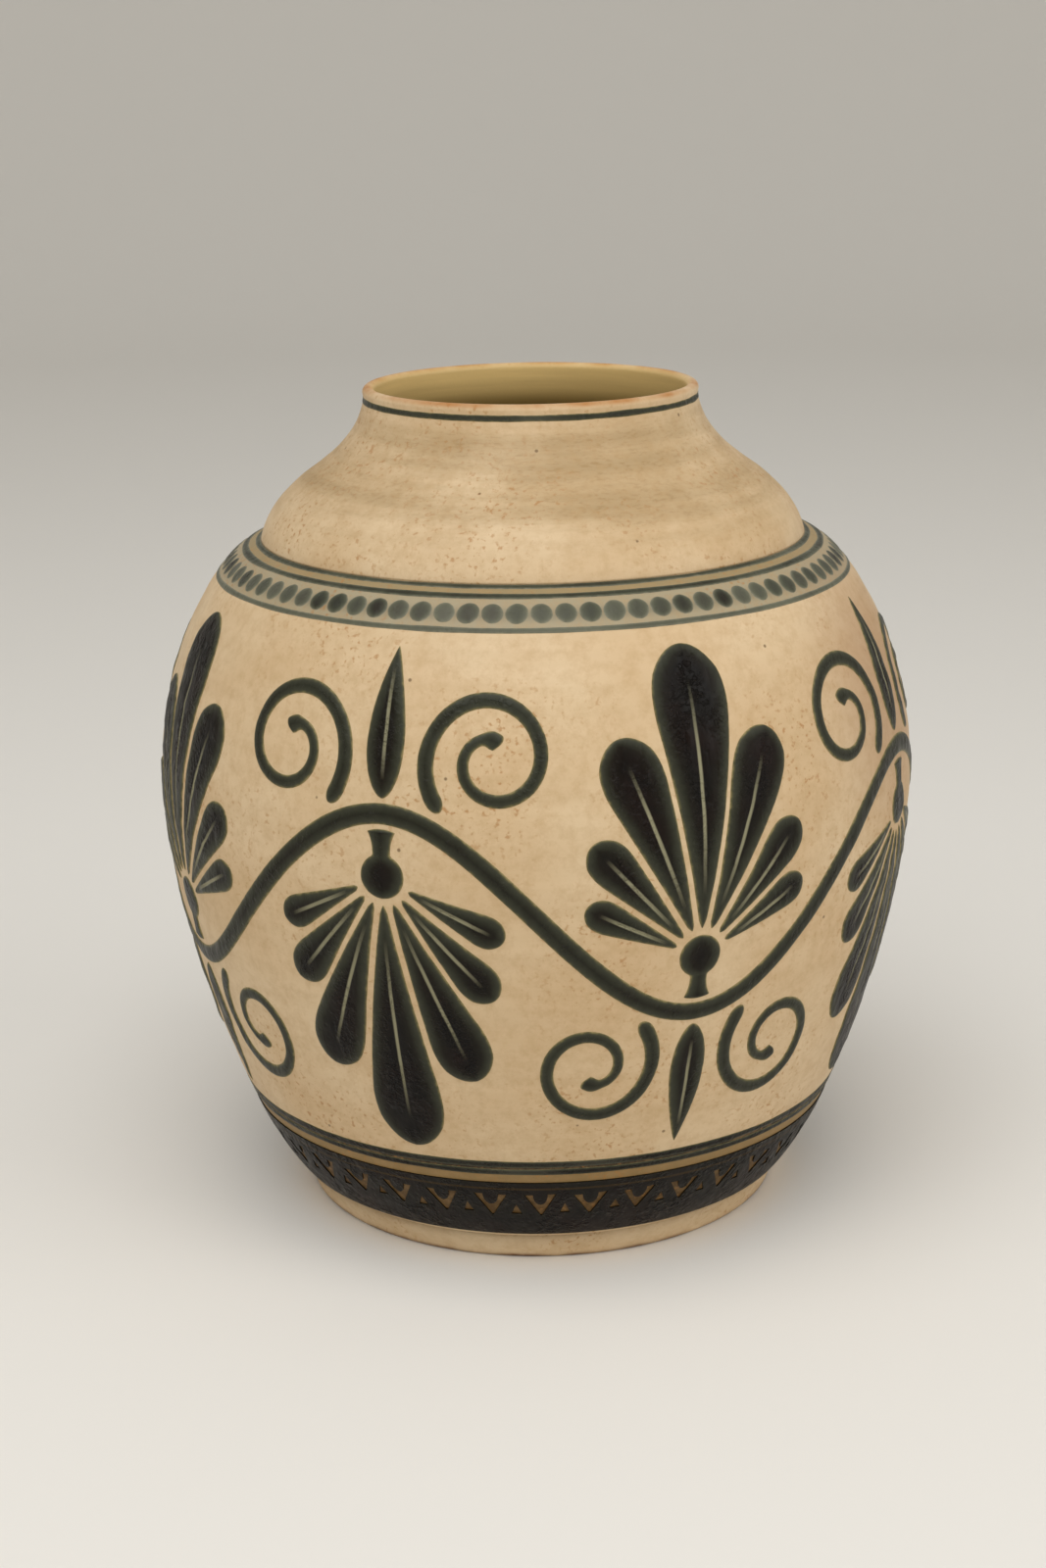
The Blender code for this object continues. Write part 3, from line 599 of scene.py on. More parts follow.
def slip_depth(tree, coords, deepest):
    """0 at a stroke's border and 1 at the deepest stop, in mm. The border wavers a little."""
    edge = node(tree, "ShaderNodeAttribute", attribute_name="edge").outputs["Fac"]
    waver = node(tree, "ShaderNodeTexNoise", {"Vector": coords, "Scale": per_mm(2.2), "Detail": 3.0})
    links = {"Value": waver, "From Min": 0.3, "From Max": 0.7, "To Min": -EDGE_WAVER, "To Max": EDGE_WAVER}
    shift = node(tree, "ShaderNodeMapRange", links)
    shifted = node(tree, "ShaderNodeMath", {0: edge, 1: shift}, operation="ADD")
    return node(tree, "ShaderNodeMapRange", {"Value": shifted, "From Max": deepest * MM})


print(f"The border of slip wavers by {1000 * EDGE_WAVER:.2f} mm")

# %% The colour of slip
RIB_OUTER = 0.75 * MM
RIB_INNER = 0.35 * MM
SPARED_LINE = 27.7 * MM
SPARED_HALF_WIDTH = 0.45 * MM


def slip_colour(tree, coords, share, stops):
    """Colour from the border inwards, with brown patches, paler tones, paler ribs and the spared line."""
    ramp = node(tree, "ShaderNodeValToRGB", {"Fac": share})
    while len(ramp.color_ramp.elements) < len(stops):
        ramp.color_ramp.elements.new(0.5)
    for stop, (distance, code) in zip(ramp.color_ramp.elements, stops):
        stop.position = distance / stops[-1][0]
        stop.color = linear(code)
    kept = {
        label: node(tree, "ShaderNodeAttribute", attribute_name=label).outputs["Fac"]
        for label in ("tone", "across", "rib", "along")
    }
    patches = node(tree, "ShaderNodeTexNoise", {"Vector": coords, "Scale": per_mm(16.0), "Detail": 4.0})
    links = {"Value": patches, "From Min": 0.46, "From Max": 0.64, "To Max": 0.8}
    thick = node(tree, "ShaderNodeMapRange", links)
    brown = node(tree, "ShaderNodeMath", {0: thick, 1: share}, operation="MULTIPLY")
    aside = node(tree, "ShaderNodeMath", {0: kept["across"]}, operation="ABSOLUTE")
    groove = node(tree, "ShaderNodeMapRange", {"Value": aside, "From Min": RIB_OUTER, "From Max": RIB_INNER})
    ribbed = node(tree, "ShaderNodeMath", {0: groove, 1: kept["rib"]}, operation="MULTIPLY")
    links = {0: kept["along"], 1: SPARED_LINE, 2: SPARED_HALF_WIDTH}
    spared = node(tree, "ShaderNodeMath", links, operation="COMPARE")
    colour = ramp
    for where, code in (
        (brown, "#180c07"),
        (kept["tone"], "#8d8c78"),
        (ribbed, "#8f8b70"),
        (spared, "#35270f"),
    ):
        links = {"Factor": where, "A": colour, "B": linear(code)}
        colour = node(tree, "ShaderNodeMix", links, data_type="RGBA")
    return colour


print(f"The line spared in the base band is {2000 * SPARED_HALF_WIDTH:.1f} mm wide")

# %% The surface of slip
PIT_SPACING = 3.0
DRAG_SIZE = 2.2
DRAG_STRETCH = (1.0, 1.0, 0.28)
CRUST_PATCH = 8.0
BLISTER_SIZE = 2.0


def slip_surface(tree, coords, share, crust_height):
    """Roughness and bumps of slip: pits, brush drag, and a blistered crust where it lies thick."""
    pits = node(tree, "ShaderNodeTexVoronoi", {"Vector": coords, "Scale": per_mm(PIT_SPACING)})
    pit = node(tree, "ShaderNodeMapRange", {"Value": pits.outputs["Distance"], "From Max": 0.28})
    drag_at = node(tree, "ShaderNodeMapping", {"Vector": coords, "Scale": DRAG_STRETCH})
    drag = node(tree, "ShaderNodeTexNoise", {"Vector": drag_at, "Scale": per_mm(DRAG_SIZE), "Detail": 5.0})
    gloss = {"Value": drag, "From Min": 0.3, "From Max": 0.7, "To Min": 0.32, "To Max": 0.52}
    links = {"Vector": drag_at, "Scale": per_mm(CRUST_PATCH), "Detail": 2.0}
    crusted = node(tree, "ShaderNodeTexNoise", links)
    where = node(tree, "ShaderNodeMapRange", {"Value": crusted, "From Min": 0.46, "From Max": 0.66})
    links = {"Vector": coords, "Scale": per_mm(BLISTER_SIZE), "Detail": 3.0}
    lumps = node(tree, "ShaderNodeTexNoise", links)
    blister = node(tree, "ShaderNodeMapRange", {"Value": lumps, "From Min": 0.45, "From Max": 0.60})
    crust = node(tree, "ShaderNodeMath", {0: blister, 1: where}, operation="MULTIPLY")
    crust = node(tree, "ShaderNodeMath", {0: crust, 1: share}, operation="MULTIPLY")
    bump = node(tree, "ShaderNodeBump", {"Height": pit, "Strength": 0.4, "Distance": 0.3 * MM})
    links = {"Height": drag, "Strength": 0.7, "Distance": 0.4 * MM, "Normal": bump}
    bump = node(tree, "ShaderNodeBump", links)
    bump = node(tree, "ShaderNodeBump", {"Height": crust, "Distance": crust_height, "Normal": bump})
    return node(tree, "ShaderNodeMapRange", gloss), bump


print(f"Slip has pits about {PIT_SPACING:.0f} mm apart and blisters about {BLISTER_SIZE:.0f} mm across")


# %% The slip materials
def iron_slip(name, stops, crust_height):
    """A slip finish. Its stops are (distance from the stroke's border in mm, hex colour)."""
    slip = bpy.data.materials.new(name)
    slip.use_nodes = True
    tree = slip.node_tree
    shader = tree.nodes["Principled BSDF"]
    shader.inputs["IOR"].default_value = 1.5
    shader.inputs["Specular IOR Level"].default_value = 0.15
    coords = node(tree, "ShaderNodeTexCoord").outputs["Object"]
    share = slip_depth(tree, coords, stops[-1][0])
    colour = slip_colour(tree, coords, share, stops)
    roughness, bump = slip_surface(tree, coords, share, crust_height)
    tree.links.new(colour.outputs["Result"], shader.inputs["Base Color"])
    tree.links.new(roughness.outputs["Result"], shader.inputs["Roughness"])
    tree.links.new(bump.outputs["Normal"], shader.inputs["Normal"])
    print(f"{name}: {len(tree.nodes)} nodes")
    return slip


# Thick iron slip gives the eye a satin green-black that goes to brown, rough with blisters.
DARK_STOPS = (
    (0.0, "#8f8259"),
    (0.4, "#55533a"),
    (0.9, "#3b3c30"),
    (2.2, "#2e2f24"),
    (4.0, "#19160e"),
    (7.0, "#0c0805"),
)
dark_slip = iron_slip("iron_slip_dark", DARK_STOPS, 0.9 * MM)
# Thin iron slip gives the eye a smoother grey-green that pales at its edges.
GREY_STOPS = ((0.0, "#8d8670"), (0.35, "#6a6857"), (0.9, "#4e5040"), (2.0, "#3b3d30"), (3.5, "#31332a"))
grey_slip = iron_slip("iron_slip_grey", GREY_STOPS, 0.1 * MM)

# %% [markdown]
# ## From a rail to a piece
# A rail is a mesh of points and edges with no faces. Its attributes travel through the tree. The first
# helper samples a path with its half width, closer together near the ends, where a stroke rounds off. The
# hug attribute is how squarely the border faces sideways there, which turns a distance across the stroke
# into a distance from its border. The other helpers draw rails as a mesh, run a tree on a drawing, and put
# the plain mesh in the scene as a piece.

# %% Rails
HAIR = 0.02 * MM
RIB_FROM = 0.12
RIB_TO = 0.86
RIB_FADE = 4.0


def stroke(path, half_width, stations, rib=0.0, closed=False, tone=lambda share: 0.0):
    """Rows of (spot, half width, hug, rib, tone) along a path, which is given for a share from 0 to 1."""
    steps = [step / stations for step in range(stations + 1)]
    shares = steps if closed else [(1.0 - math.cos(math.pi * step)) / 2.0 for step in steps]
    spots = [path(share) for share in shares]
    widths = [max(half_width(share), HAIR) for share in shares]
    if closed:  # level ends meet squarely when the paper is wrapped
        spots[1].y = spots[-2].y = spots[0].y
    rows = []
    for i, share in enumerate(shares):
        before, after = max(i - 1, 0), min(i + 1, stations)
        slope = (widths[after] - widths[before]) / (spots[after] - spots[before]).length
        strength = rib * min(1.0, max(0.0, RIB_FADE * min(share - RIB_FROM, RIB_TO - share)))
        rows.append((spots[i], widths[i], 1.0 / math.hypot(1.0, slope), strength, tone(share)))
    return rows


def draw_rails(name, strokes):
    """A flat mesh of rails, with each row's numbers kept as attributes."""
    rows = [row for rail in strokes for row in rail]
    starts = [sum(len(rail) for rail in strokes[:i]) for i in range(len(strokes))]
    edges = [(start + i, start + i + 1) for start, rail in zip(starts, strokes) for i in range(len(rail) - 1)]
    mesh = bpy.data.meshes.new(name)
    mesh.from_pydata([(row[0].x, row[0].y, 0.0) for row in rows], edges, [])
    for column, label in ((1, "half_width"), (2, "hug"), (3, "rib"), (4, "tone")):
        if any(row[column] for row in rows):
            kept = mesh.attributes.new(label, "FLOAT", "POINT")
            kept.data.foreach_set("value", [row[column] for row in rows])
    return mesh


print(f"A stroke ends {1000 * HAIR:.2f} mm wide to each side, so that it stays closed")

# %% Run a tree on a drawing
ROUND = 2.0 * math.pi * GIRTH.x
FRONT = math.radians(-112.0)  # the paper starts here, a little left of the middle as the camera sees it
ON_BELLY = {"Wall": belly_wall, "Girth": GIRTH.x, "Front": FRONT}
LAID_THICK = {
    "Relief": 0.5 * MM,
    "Edge": 1.8 * MM,
    "Uneven": 0.6 * MM,
    "Sink": 0.06 * MM,
    "Around": 32,
    "Caps": True,
}
LAID_THIN = {
    **LAID_THICK,
    "Relief": 0.2 * MM,
    "Edge": 1.1 * MM,
    "Uneven": 0.1 * MM,
    "Around": 16,
    "Caps": False,
}


def run_tree(name, tree, drawing, **inputs):
    """Runs a tree on a drawing and gives back a plain mesh."""
    maker = bpy.data.objects.new(name, drawing)
    bpy.context.scene.collection.objects.link(maker)
    modifier = maker.modifiers.new("Slip", "NODES")
    modifier.node_group = tree
    sockets = {item.name: item.identifier for item in tree.interface.items_tree if item.in_out == "INPUT"}
    for label, value in inputs.items():
        modifier[sockets[label]] = value
    evaluated = maker.evaluated_get(bpy.context.evaluated_depsgraph_get())
    mesh = bpy.data.meshes.new_from_object(evaluated)
    bpy.data.objects.remove(maker, do_unlink=True)
    mesh.name = name
    return mesh


def lay_slip(cad_node, strokes, slip, laid, where=ON_BELLY):
    """Makes a slip piece from its strokes, in place of a CAD node."""
    drawing = draw_rails(cad_node + "_rails", strokes)
    mesh = run_tree(cad_node + "_slip", stroke_tree, drawing, Material=slip, **laid, **where)
    add_piece(mesh.name, mesh, cad_node)
    return mesh


print(f"The paper is {1000 * ROUND:.1f} mm long")

# %% [markdown]
# ## Lines turned on the wheel
# The lines were banded with a loaded brush while the pot turned, so they run true but swell and thin a
# little. Each is one closed stroke at a fixed distance along the wall. Smooth noise read on a circle makes
# the width change without a jump where the line meets its start.

# %% Banded lines
LINE_STATIONS = 360
LINE_WANDER = 0.12
LINE_SWELL = 0.22
LINE_SHADING = 0.2


def unsteady(share, seed, times=3.0):
    """Smooth noise from -1 to 1 that comes back to its start after one turn."""
    angle = 2.0 * math.pi * share
    return noise.noise(Vector((times * math.cos(angle), times * math.sin(angle), 7.3 * seed)))


def band_line(cad_node, along, width, slip, seed, pale=0.0, crisp=1.0, where=ON_BELLY):
    """A line right round the pot, with its place and width in mm. A crisp one is dark up to its border."""

    def path(share):
        return Vector((share * ROUND, (along + LINE_WANDER * unsteady(share, seed)) * MM))

    def half_width(share):
        return width / 2.0 * (1.0 + LINE_SWELL * unsteady(share, seed + 0.5, 6.0)) * MM

    def tone(share):
        return max(0.0, pale + LINE_SHADING * unsteady(share, seed + 0.8, 4.0))

    line = stroke(path, half_width, LINE_STATIONS, closed=True, tone=tone)
    line = [(spot, half, hug * crisp, rib, shade) for spot, half, hug, rib, shade in line]
    return lay_slip(cad_node, [line], slip, LAID_THIN, where)


ON_COLLAR = {**ON_BELLY, "Wall": collar_wall}
RIM_LINE_ALONG = 1000 * COLLAR_LENGTH - 0.4
band_line("rim_line", RIM_LINE_ALONG, 2.1, dark_slip, 1, crisp=1.8, where=ON_COLLAR)
band_line("shoulder_line_upper", 239.7, 2.2, grey_slip, 2, crisp=1.8)
band_line("shoulder_line_lower", 234.85, 2.7, grey_slip, 3, crisp=1.8)
band_line("bead_line", 221.95, 1.9, grey_slip, 4, pale=0.22, crisp=1.8)
band_line("ground_line_upper", 38.8, 2.7, dark_slip, 5, crisp=4.0)
ground = band_line("ground_line_lower", 35.45, 2.4, dark_slip, 6, crisp=4.0)
print(f"Six lines, the last with {len(ground.polygons)} faces")

# %% [markdown]
# ## The running scroll
# The belly carries a running scroll with palmettes, an old border pattern: a wave goes right round the pot,
# and from each crest and trough a fan of petals grows back across the frieze. A pair of spirals and a bud
# fill the outer side. Everything is placed from the wave's crests, so one half wave is drawn once and then
# turned over for the next. The stem comes first.

# %% Frieze and stem
WAVES = 4
SWING = 34.0 * MM
STEM_WIDTH = 6.6 * MM
STEM_SWELL = 0.06
STROKE_GAP = 1.4 * MM
FRIEZE_LOW = 44.3 * MM
FRIEZE_HIGH = 215.8 * MM
FRIEZE_MIDDLE = (FRIEZE_LOW + FRIEZE_HIGH) / 2.0
FRIEZE_REACH = (FRIEZE_HIGH - FRIEZE_LOW) / 2.0


def stem_rise(distance):
    """Height of the stem over the frieze's middle, at a distance from a crest."""
    return SWING * math.cos(2.0 * math.pi * WAVES * distance / ROUND)


def stem_path(share):
    """The middle of the stem."""
    return Vector((share * ROUND, FRIEZE_MIDDLE + stem_rise(share * ROUND)))


def stem_half_width(share):
    """Half the stem's width, as steady as a hand is."""
    return STEM_WIDTH / 2.0 * (1.0 + STEM_SWELL * unsteady(share, 9, 5.0))


stem = stroke(stem_path, stem_half_width, 640, closed=True)
stem_mesh = lay_slip("scroll_stem", [stem], dark_slip, {**LAID_THICK, "Caps": False})
print(f"Stem: {len(stem_mesh.polygons)} faces, swing {1000 * SWING:.0f} mm")

# %% [markdown]
# ## Palmettes
# A palmette is a fan of petals round a heart. Each petal is one stroke that widens as the fan opens and
# ends in a round tip. A thin line of bare clay stays between neighbours, and a rib is pressed down the
# middle of each. The heart is the round end of a short stalk, which joins the fan to the stem.

# %% Petals
PALMETTE_WIDTH = 78.0 * MM
STALK = 15.0 * MM
HEART = SWING - STEM_WIDTH / 2.0 - STROKE_GAP - STALK
PETAL_PITCH = math.radians(21.0)
PETAL_GAP = 1.9 * MM
PETAL_ROOT = 9.5 * MM
ROOT_SHARE = 0.03
WIDEST_SHARE = 0.9
SHOULDER_SHARE = 0.70
TIP_BLUNTNESS = 2.2
LENGTH_UNEVEN = 0.04
TURN_UNEVEN = 0.03


def half_wave(number):
    """Places a point beside a crest or trough, given as (across it, away from the frieze's middle)."""
    side = 1.0 if number % 2 == 0 else -1.0
    centre = Vector((number * ROUND / (2.0 * WAVES), FRIEZE_MIDDLE))
    return lambda across, away: centre + Vector((across, away)) * side


def petal(place, turn, seed):
    """One petal of the fan, at a turn from the palmette's axis, as steady as a hand is."""
    reach = HEART + FRIEZE_REACH
    tip = 1.0 / math.hypot(math.cos(turn) / reach, 2.0 * math.sin(turn) / PALMETTE_WIDTH)
    tip *= 1.0 - LENGTH_UNEVEN * abs(noise.noise(Vector((seed, 10.0 * turn, 0.5))))
    turn += TURN_UNEVEN * noise.noise(Vector((seed, 10.0 * turn, 7.5)))

    def out_at(share):
        return PETAL_ROOT + (tip - PETAL_ROOT) * share

    def path(share):
        away = out_at(share)
        return place(away * math.sin(turn), HEART - away * math.cos(turn))

    def half_width(share):
        wedge = out_at(min(share, WIDEST_SHARE)) * math.tan(PETAL_PITCH / 2.0) - PETAL_GAP / 2.0
        past = max(0.0, share - SHOULDER_SHARE) / (1.0 - SHOULDER_SHARE)
        root = math.sqrt(min(1.0, share / ROOT_SHARE))
        return wedge * math.sqrt(max(0.0, 1.0 - past**TIP_BLUNTNESS)) * root

    return stroke(path, half_width, 44, rib=1.0)


print(f"Petals start {1000 * PETAL_ROOT:.1f} mm from the heart's middle")

# %% Hearts, and laying the palmettes
PETALS = 7
HEART_RADIUS = 7.2 * MM
STALK_HALF_WIDTH = 3.0 * MM
STALK_ROUND = 0.9 * MM
FLARE_WIDTH = 2.2 * MM
FLARE_LENGTH = 7.0 * MM


def heart_and_stalk(place):
    """A stalk that leaves the stem, with a round heart at its end."""
    length = STALK + HEART_RADIUS

    def half_width(share):
        walked = share * length
        stalk = STALK_HALF_WIDTH + FLARE_WIDTH * max(0.0, 1.0 - walked / FLARE_LENGTH) ** 2
        ball = math.sqrt(max(0.0, HEART_RADIUS**2 - (walked - STALK) ** 2))
        root = math.sqrt(min(1.0, walked / STALK_ROUND))
        return max(stalk * root if walked < STALK else 0.0, ball)

    return stroke(lambda share: place(0.0, HEART + STALK - length * share), half_width, 56)


for number in range(2 * WAVES):
    place = half_wave(number)
    turns = [PETAL_PITCH * (i - (PETALS - 1) / 2.0) for i in range(PETALS)]
    strokes = [petal(place, turn, 2.37 * number) for turn in turns]
    strokes.append(heart_and_stalk(place))
    fan = lay_slip(f"palmette_{number + 1}", strokes, dark_slip, LAID_THICK)
print(f"{2 * WAVES} palmettes, the last with {len(fan.polygons)} faces")

# %% [markdown]
# ## Spirals and buds
# On the outer side of each crest two spirals spring away from the stem, with a drop-shaped bud between
# them. A spiral is an arc whose radius shrinks evenly as it turns. Its stroke thins on the way in and
# ends in a round eye.

# %% Spirals
VOLUTE_OFFSET = 19.0 * MM
VOLUTE_WIDTH = 5.6 * MM
VOLUTE_START = math.radians(225.0)
VOLUTE_TURNS = 1.45
VOLUTE_EYE = 5.2 * MM
VOLUTE_THINS = 0.42
EYE_FROM = 0.88
EYE_SHARE = 0.07


def round_ended(half_width, length):
    """A stroke of even width with round ends."""

    def width_at(share):
        inset = min(1.0, min(share, 1.0 - share) * length / half_width)
        return half_width * math.sqrt(max(0.0, 1.0 - (1.0 - inset) ** 2))

    return width_at


def volute(place, hand):
    """A spiral to the left or right of a crest, as wide as the room beside the next palmette."""
    root = stem_rise(VOLUTE_OFFSET) + STEM_WIDTH / 2.0 + STROKE_GAP + VOLUTE_WIDTH / 2.0
    next_palmette = ROUND / (2.0 * WAVES) - PALMETTE_WIDTH / 2.0
    room = next_palmette - STROKE_GAP - VOLUTE_WIDTH / 2.0 - VOLUTE_OFFSET
    radius = room / (1.0 - math.cos(VOLUTE_START))
    away = root - radius * math.sin(VOLUTE_START)
    across = VOLUTE_OFFSET - radius * math.cos(VOLUTE_START)

    def path(share):
        turn = VOLUTE_START - 2.0 * math.pi * VOLUTE_TURNS * share
        reach = radius + (VOLUTE_EYE - radius) * share
        return place(hand * (across + reach * math.cos(turn)), away + reach * math.sin(turn))

    length = 2.0 * math.pi * VOLUTE_TURNS * (radius + VOLUTE_EYE) / 2.0
    round_end = round_ended(VOLUTE_WIDTH / 2.0, length)

    def half_width(share):
        into_eye = min(1.0, max(0.0, (share - EYE_FROM) / EYE_SHARE))
        eye = VOLUTE_THINS * into_eye * into_eye * (3.0 - 2.0 * into_eye)
        return round_end(share) * (1.0 - VOLUTE_THINS * share + eye)

    return stroke(path, half_width, 130)


print(f"Spirals of {VOLUTE_TURNS} turns, {1000 * VOLUTE_WIDTH:.1f} mm wide at the root")

# %% Buds, and laying both
BUD_WIDTH = 13.0 * MM
BUD_LEAN = 0.7
BUD_FULLNESS = 0.8


def bud(place):
    """A drop of slip between the spirals."""
    root = SWING + STEM_WIDTH / 2.0 + STROKE_GAP

    def half_width(share):
        return BUD_WIDTH / 2.0 * max(0.0, math.sin(math.pi * share**BUD_LEAN)) ** BUD_FULLNESS

    return stroke(lambda share: place(0.0, root + (FRIEZE_REACH - root) * share), half_width, 40, rib=1.0)


LAID_SPIRAL = {**LAID_THICK, "Around": 24}
for number in range(2 * WAVES):
    place = half_wave(number)
    for hand, side in ((-1.0, "left"), (1.0, "right")):
        spiral = volute(place, hand)
        lay_slip(f"volute_{number + 1}_{side}", [spiral], dark_slip, LAID_SPIRAL)
    drop = lay_slip(f"bud_{number + 1}", [bud(place)], dark_slip, LAID_THICK)
print(f"{4 * WAVES} spirals and {2 * WAVES} buds, the last with {len(drop.polygons)} faces")

# %% [markdown]
# ## Beads on the shoulder
# A row of eighty-six flat beads runs round the shoulder. They were dabbed on one at a time, so no two
# are quite alike. The tree sets a short rail at each of as many points, gives each its own size and tone
# from a fixed seed, and hands all of them to the slip stroke tree.

# %% The bead row tree
BEAD_INPUTS = {**STROKE_INPUTS, "Count": "Int", "Along": "Float", "Pitch": "Float", "Seed": "Int"}
bead_tree, given = new_tree("Bead row", BEAD_INPUTS)
half_pitch = node(bead_tree, "ShaderNodeMath", {0: given["Pitch"], 1: 0.5}, operation="MULTIPLY")
first = node(bead_tree, "ShaderNodeCombineXYZ", {"X": half_pitch, "Y": given["Along"]})
step = node(bead_tree, "ShaderNodeCombineXYZ", {"X": given["Pitch"]})
links = {"Count": given["Count"], "Start Location": first, "Offset": step}
string = node(bead_tree, "GeometryNodeMeshLine", links)
points = node(bead_tree, "GeometryNodeMeshToPoints", {"Mesh": string})
later_seed = node(bead_tree, "ShaderNodeMath", {0: given["Seed"], 1: 1.0}, operation="ADD")
for label, least, most, seed in (("size", 0.93, 1.0, given["Seed"]), ("tone", 0.02, 0.34, later_seed)):
    links = {"Min": least, "Max": most, "Seed": seed}
    chance = node(bead_tree, "FunctionNodeRandomValue", links, data_type="FLOAT")
    links = {"Geometry": points, "Name": label, "Value": chance}
    points = node(bead_tree, "GeometryNodeStoreNamedAttribute", links, data_type="FLOAT", domain="POINT")
size = node(bead_tree, "GeometryNodeInputNamedAttribute", {"Name": "size"}, data_type="FLOAT")
sizes = node(bead_tree, "ShaderNodeCombineXYZ", {"X": size, "Y": size, "Z": size})
links = {"Min": -0.3, "Max": 0.3, "Seed": given["Seed"]}
lean = node(bead_tree, "FunctionNodeRandomValue", links, data_type="FLOAT")
leaning = node(bead_tree, "ShaderNodeCombineXYZ", {"Z": lean})
links = {"Points": points, "Instance": given["Geometry"], "Rotation": leaning, "Scale": sizes}
dabs = node(bead_tree, "GeometryNodeInstanceOnPoints", links)
real = node(bead_tree, "GeometryNodeRealizeInstances", {"Geometry": dabs})
width = node(bead_tree, "GeometryNodeInputNamedAttribute", {"Name": "half_width"}, data_type="FLOAT")
grown = node(bead_tree, "ShaderNodeMath", {0: width, 1: size}, operation="MULTIPLY")
links = {"Geometry": real, "Name": "half_width", "Value": grown}
sized = node(bead_tree, "GeometryNodeStoreNamedAttribute", links, data_type="FLOAT", domain="POINT")
links = {**{label: given[label] for label in STROKE_INPUTS}, "Geometry": sized}
laid = node(bead_tree, "GeometryNodeGroup", links, node_tree=stroke_tree)
node(bead_tree, "NodeGroupOutput", {0: laid})
print(f"{bead_tree.name}: {len(bead_tree.nodes)} nodes")

# %% Dab the beads
BEAD_COUNT = 86
BEAD_LENGTH = 7.8 * MM
BEAD_WIDTH = 7.4 * MM
BEAD_ALONG = 228.0 * MM
BEAD_ROW_RADIUS = 102.3 * MM
LAID_BEAD = {**LAID_THICK, "Relief": 0.22 * MM, "Edge": 2.6 * MM, "Uneven": 0.15 * MM, "Around": 20}
# Paper shrinks where the pot is narrower than its girth, so a bead is drawn that much wider.
paper_width = BEAD_WIDTH * GIRTH.x / BEAD_ROW_RADIUS
dab = stroke(
    lambda share: Vector((0.0, (share - 0.5) * BEAD_LENGTH)),
    lambda share: paper_width / 2.0 * math.sqrt(max(0.0, 1.0 - (2.0 * share - 1.0) ** 2)),
    14,
)
beads = run_tree(
    "bead_row_slip",
    bead_tree,
    draw_rails("bead_rail", [dab]),
    Material=grey_slip,
    Count=BEAD_COUNT,
    Along=BEAD_ALONG,
    Pitch=ROUND / BEAD_COUNT,
    Seed=4,
    **LAID_BEAD,
    **ON_BELLY,
)
add_piece(beads.name, beads, "bead_row")
print(f"{BEAD_COUNT} beads, {len(beads.polygons)} faces in all")

# %% [markdown]
# ## The base band
# Above the foot runs a broad dark band. Chevrons with a hollowed top and small triangles were left open in
# it, and the brown wash on the clay shows through. One pair of openings is drawn as a small prism, the tree
# repeats it round a flat slab and cuts it out with a Mesh Boolean, and then lays the slab on the wall. The
# slab's two end faces are dropped before the lay, so that its ends weld into a ring.

# %% One pair of openings
CHEVRONS = 38
CHEVRON_PITCH = ROUND / CHEVRONS
CHEVRON_HALF = 0.33 * CHEVRON_PITCH
CHEVRON_TOP = 4.9 * MM
CHEVRON_TIP = -5.6 * MM
TIP_HALF = 0.06 * CHEVRON_HALF
NOTCH_HALF = 0.46 * CHEVRON_HALF
NOTCH_DEPTH = 5.0 * MM
NOTCH_STEPS = 10
TRIANGLE_HALF = 0.11 * CHEVRON_PITCH
TRIANGLE_LOW = -4.7 * MM
TRIANGLE_HIGH = 0.2 * MM
CUT_REACH = 2.0 * MM

notch = []
for step in range(NOTCH_STEPS + 1):
    turn = math.pi * step / NOTCH_STEPS
    notch.append((NOTCH_HALF * math.cos(turn), CHEVRON_TOP - NOTCH_DEPTH * math.sin(turn)))
chevron = [(CHEVRON_HALF, CHEVRON_TOP), *notch, (-CHEVRON_HALF, CHEVRON_TOP)]
chevron += [(-TIP_HALF, CHEVRON_TIP), (TIP_HALF, CHEVRON_TIP)]
between_two = CHEVRON_PITCH / 2.0
triangle = [(between_two - TRIANGLE_HALF, TRIANGLE_LOW), (between_two + TRIANGLE_HALF, TRIANGLE_LOW)]
triangle += [(between_two, TRIANGLE_HIGH)]
cutter = bmesh.new()
for outline in (chevron, triangle):
    face = cutter.faces.new([cutter.verts.new((across, up, -CUT_REACH)) for across, up in outline])
    raised = bmesh.ops.extrude_face_region(cutter, geom=[face])["geom"]
    for corner in raised:
        if isinstance(corner, bmesh.types.BMVert):
            corner.co.z = CUT_REACH
bmesh.ops.triangulate(cutter, faces=cutter.faces)
bmesh.ops.recalc_face_normals(cutter, faces=cutter.faces)
openings = bpy.data.meshes.new("band_openings")
cutter.to_mesh(openings)
cutter.free()
print(f"One pair of openings: {len(openings.polygons)} faces")

# %% A flat slab for the band
COLUMNS_PER_CHEVRON = 9.0
SLAB_ROWS = 14
BAND_INPUTS = {
    **LAY_INPUTS,
    "Low": "Float",
    "High": "Float",
    "Round": "Float",
    "Count": "Int",
    "Along": "Float",
    "Seed": "Int",
    "Relief": "Float",
    "Sink": "Float",
    "Material": "Material",
}
band_tree, given = new_tree("Band with openings", BAND_INPUTS)
tall = node(band_tree, "ShaderNodeMath", {0: given["High"], 1: given["Low"]}, operation="SUBTRACT")
thick = node(band_tree, "ShaderNodeMath", {0: given["Relief"], 1: given["Sink"]}, operation="ADD")
links = {0: given["Count"], 1: COLUMNS_PER_CHEVRON, 2: 1.0}
columns = node(band_tree, "ShaderNodeMath", links, operation="MULTIPLY_ADD")
slab_size = node(band_tree, "ShaderNodeCombineXYZ", {"X": given["Round"], "Y": tall, "Z": thick})
links = {"Size": slab_size, "Vertices X": columns, "Vertices Y": SLAB_ROWS, "Vertices Z": 2}
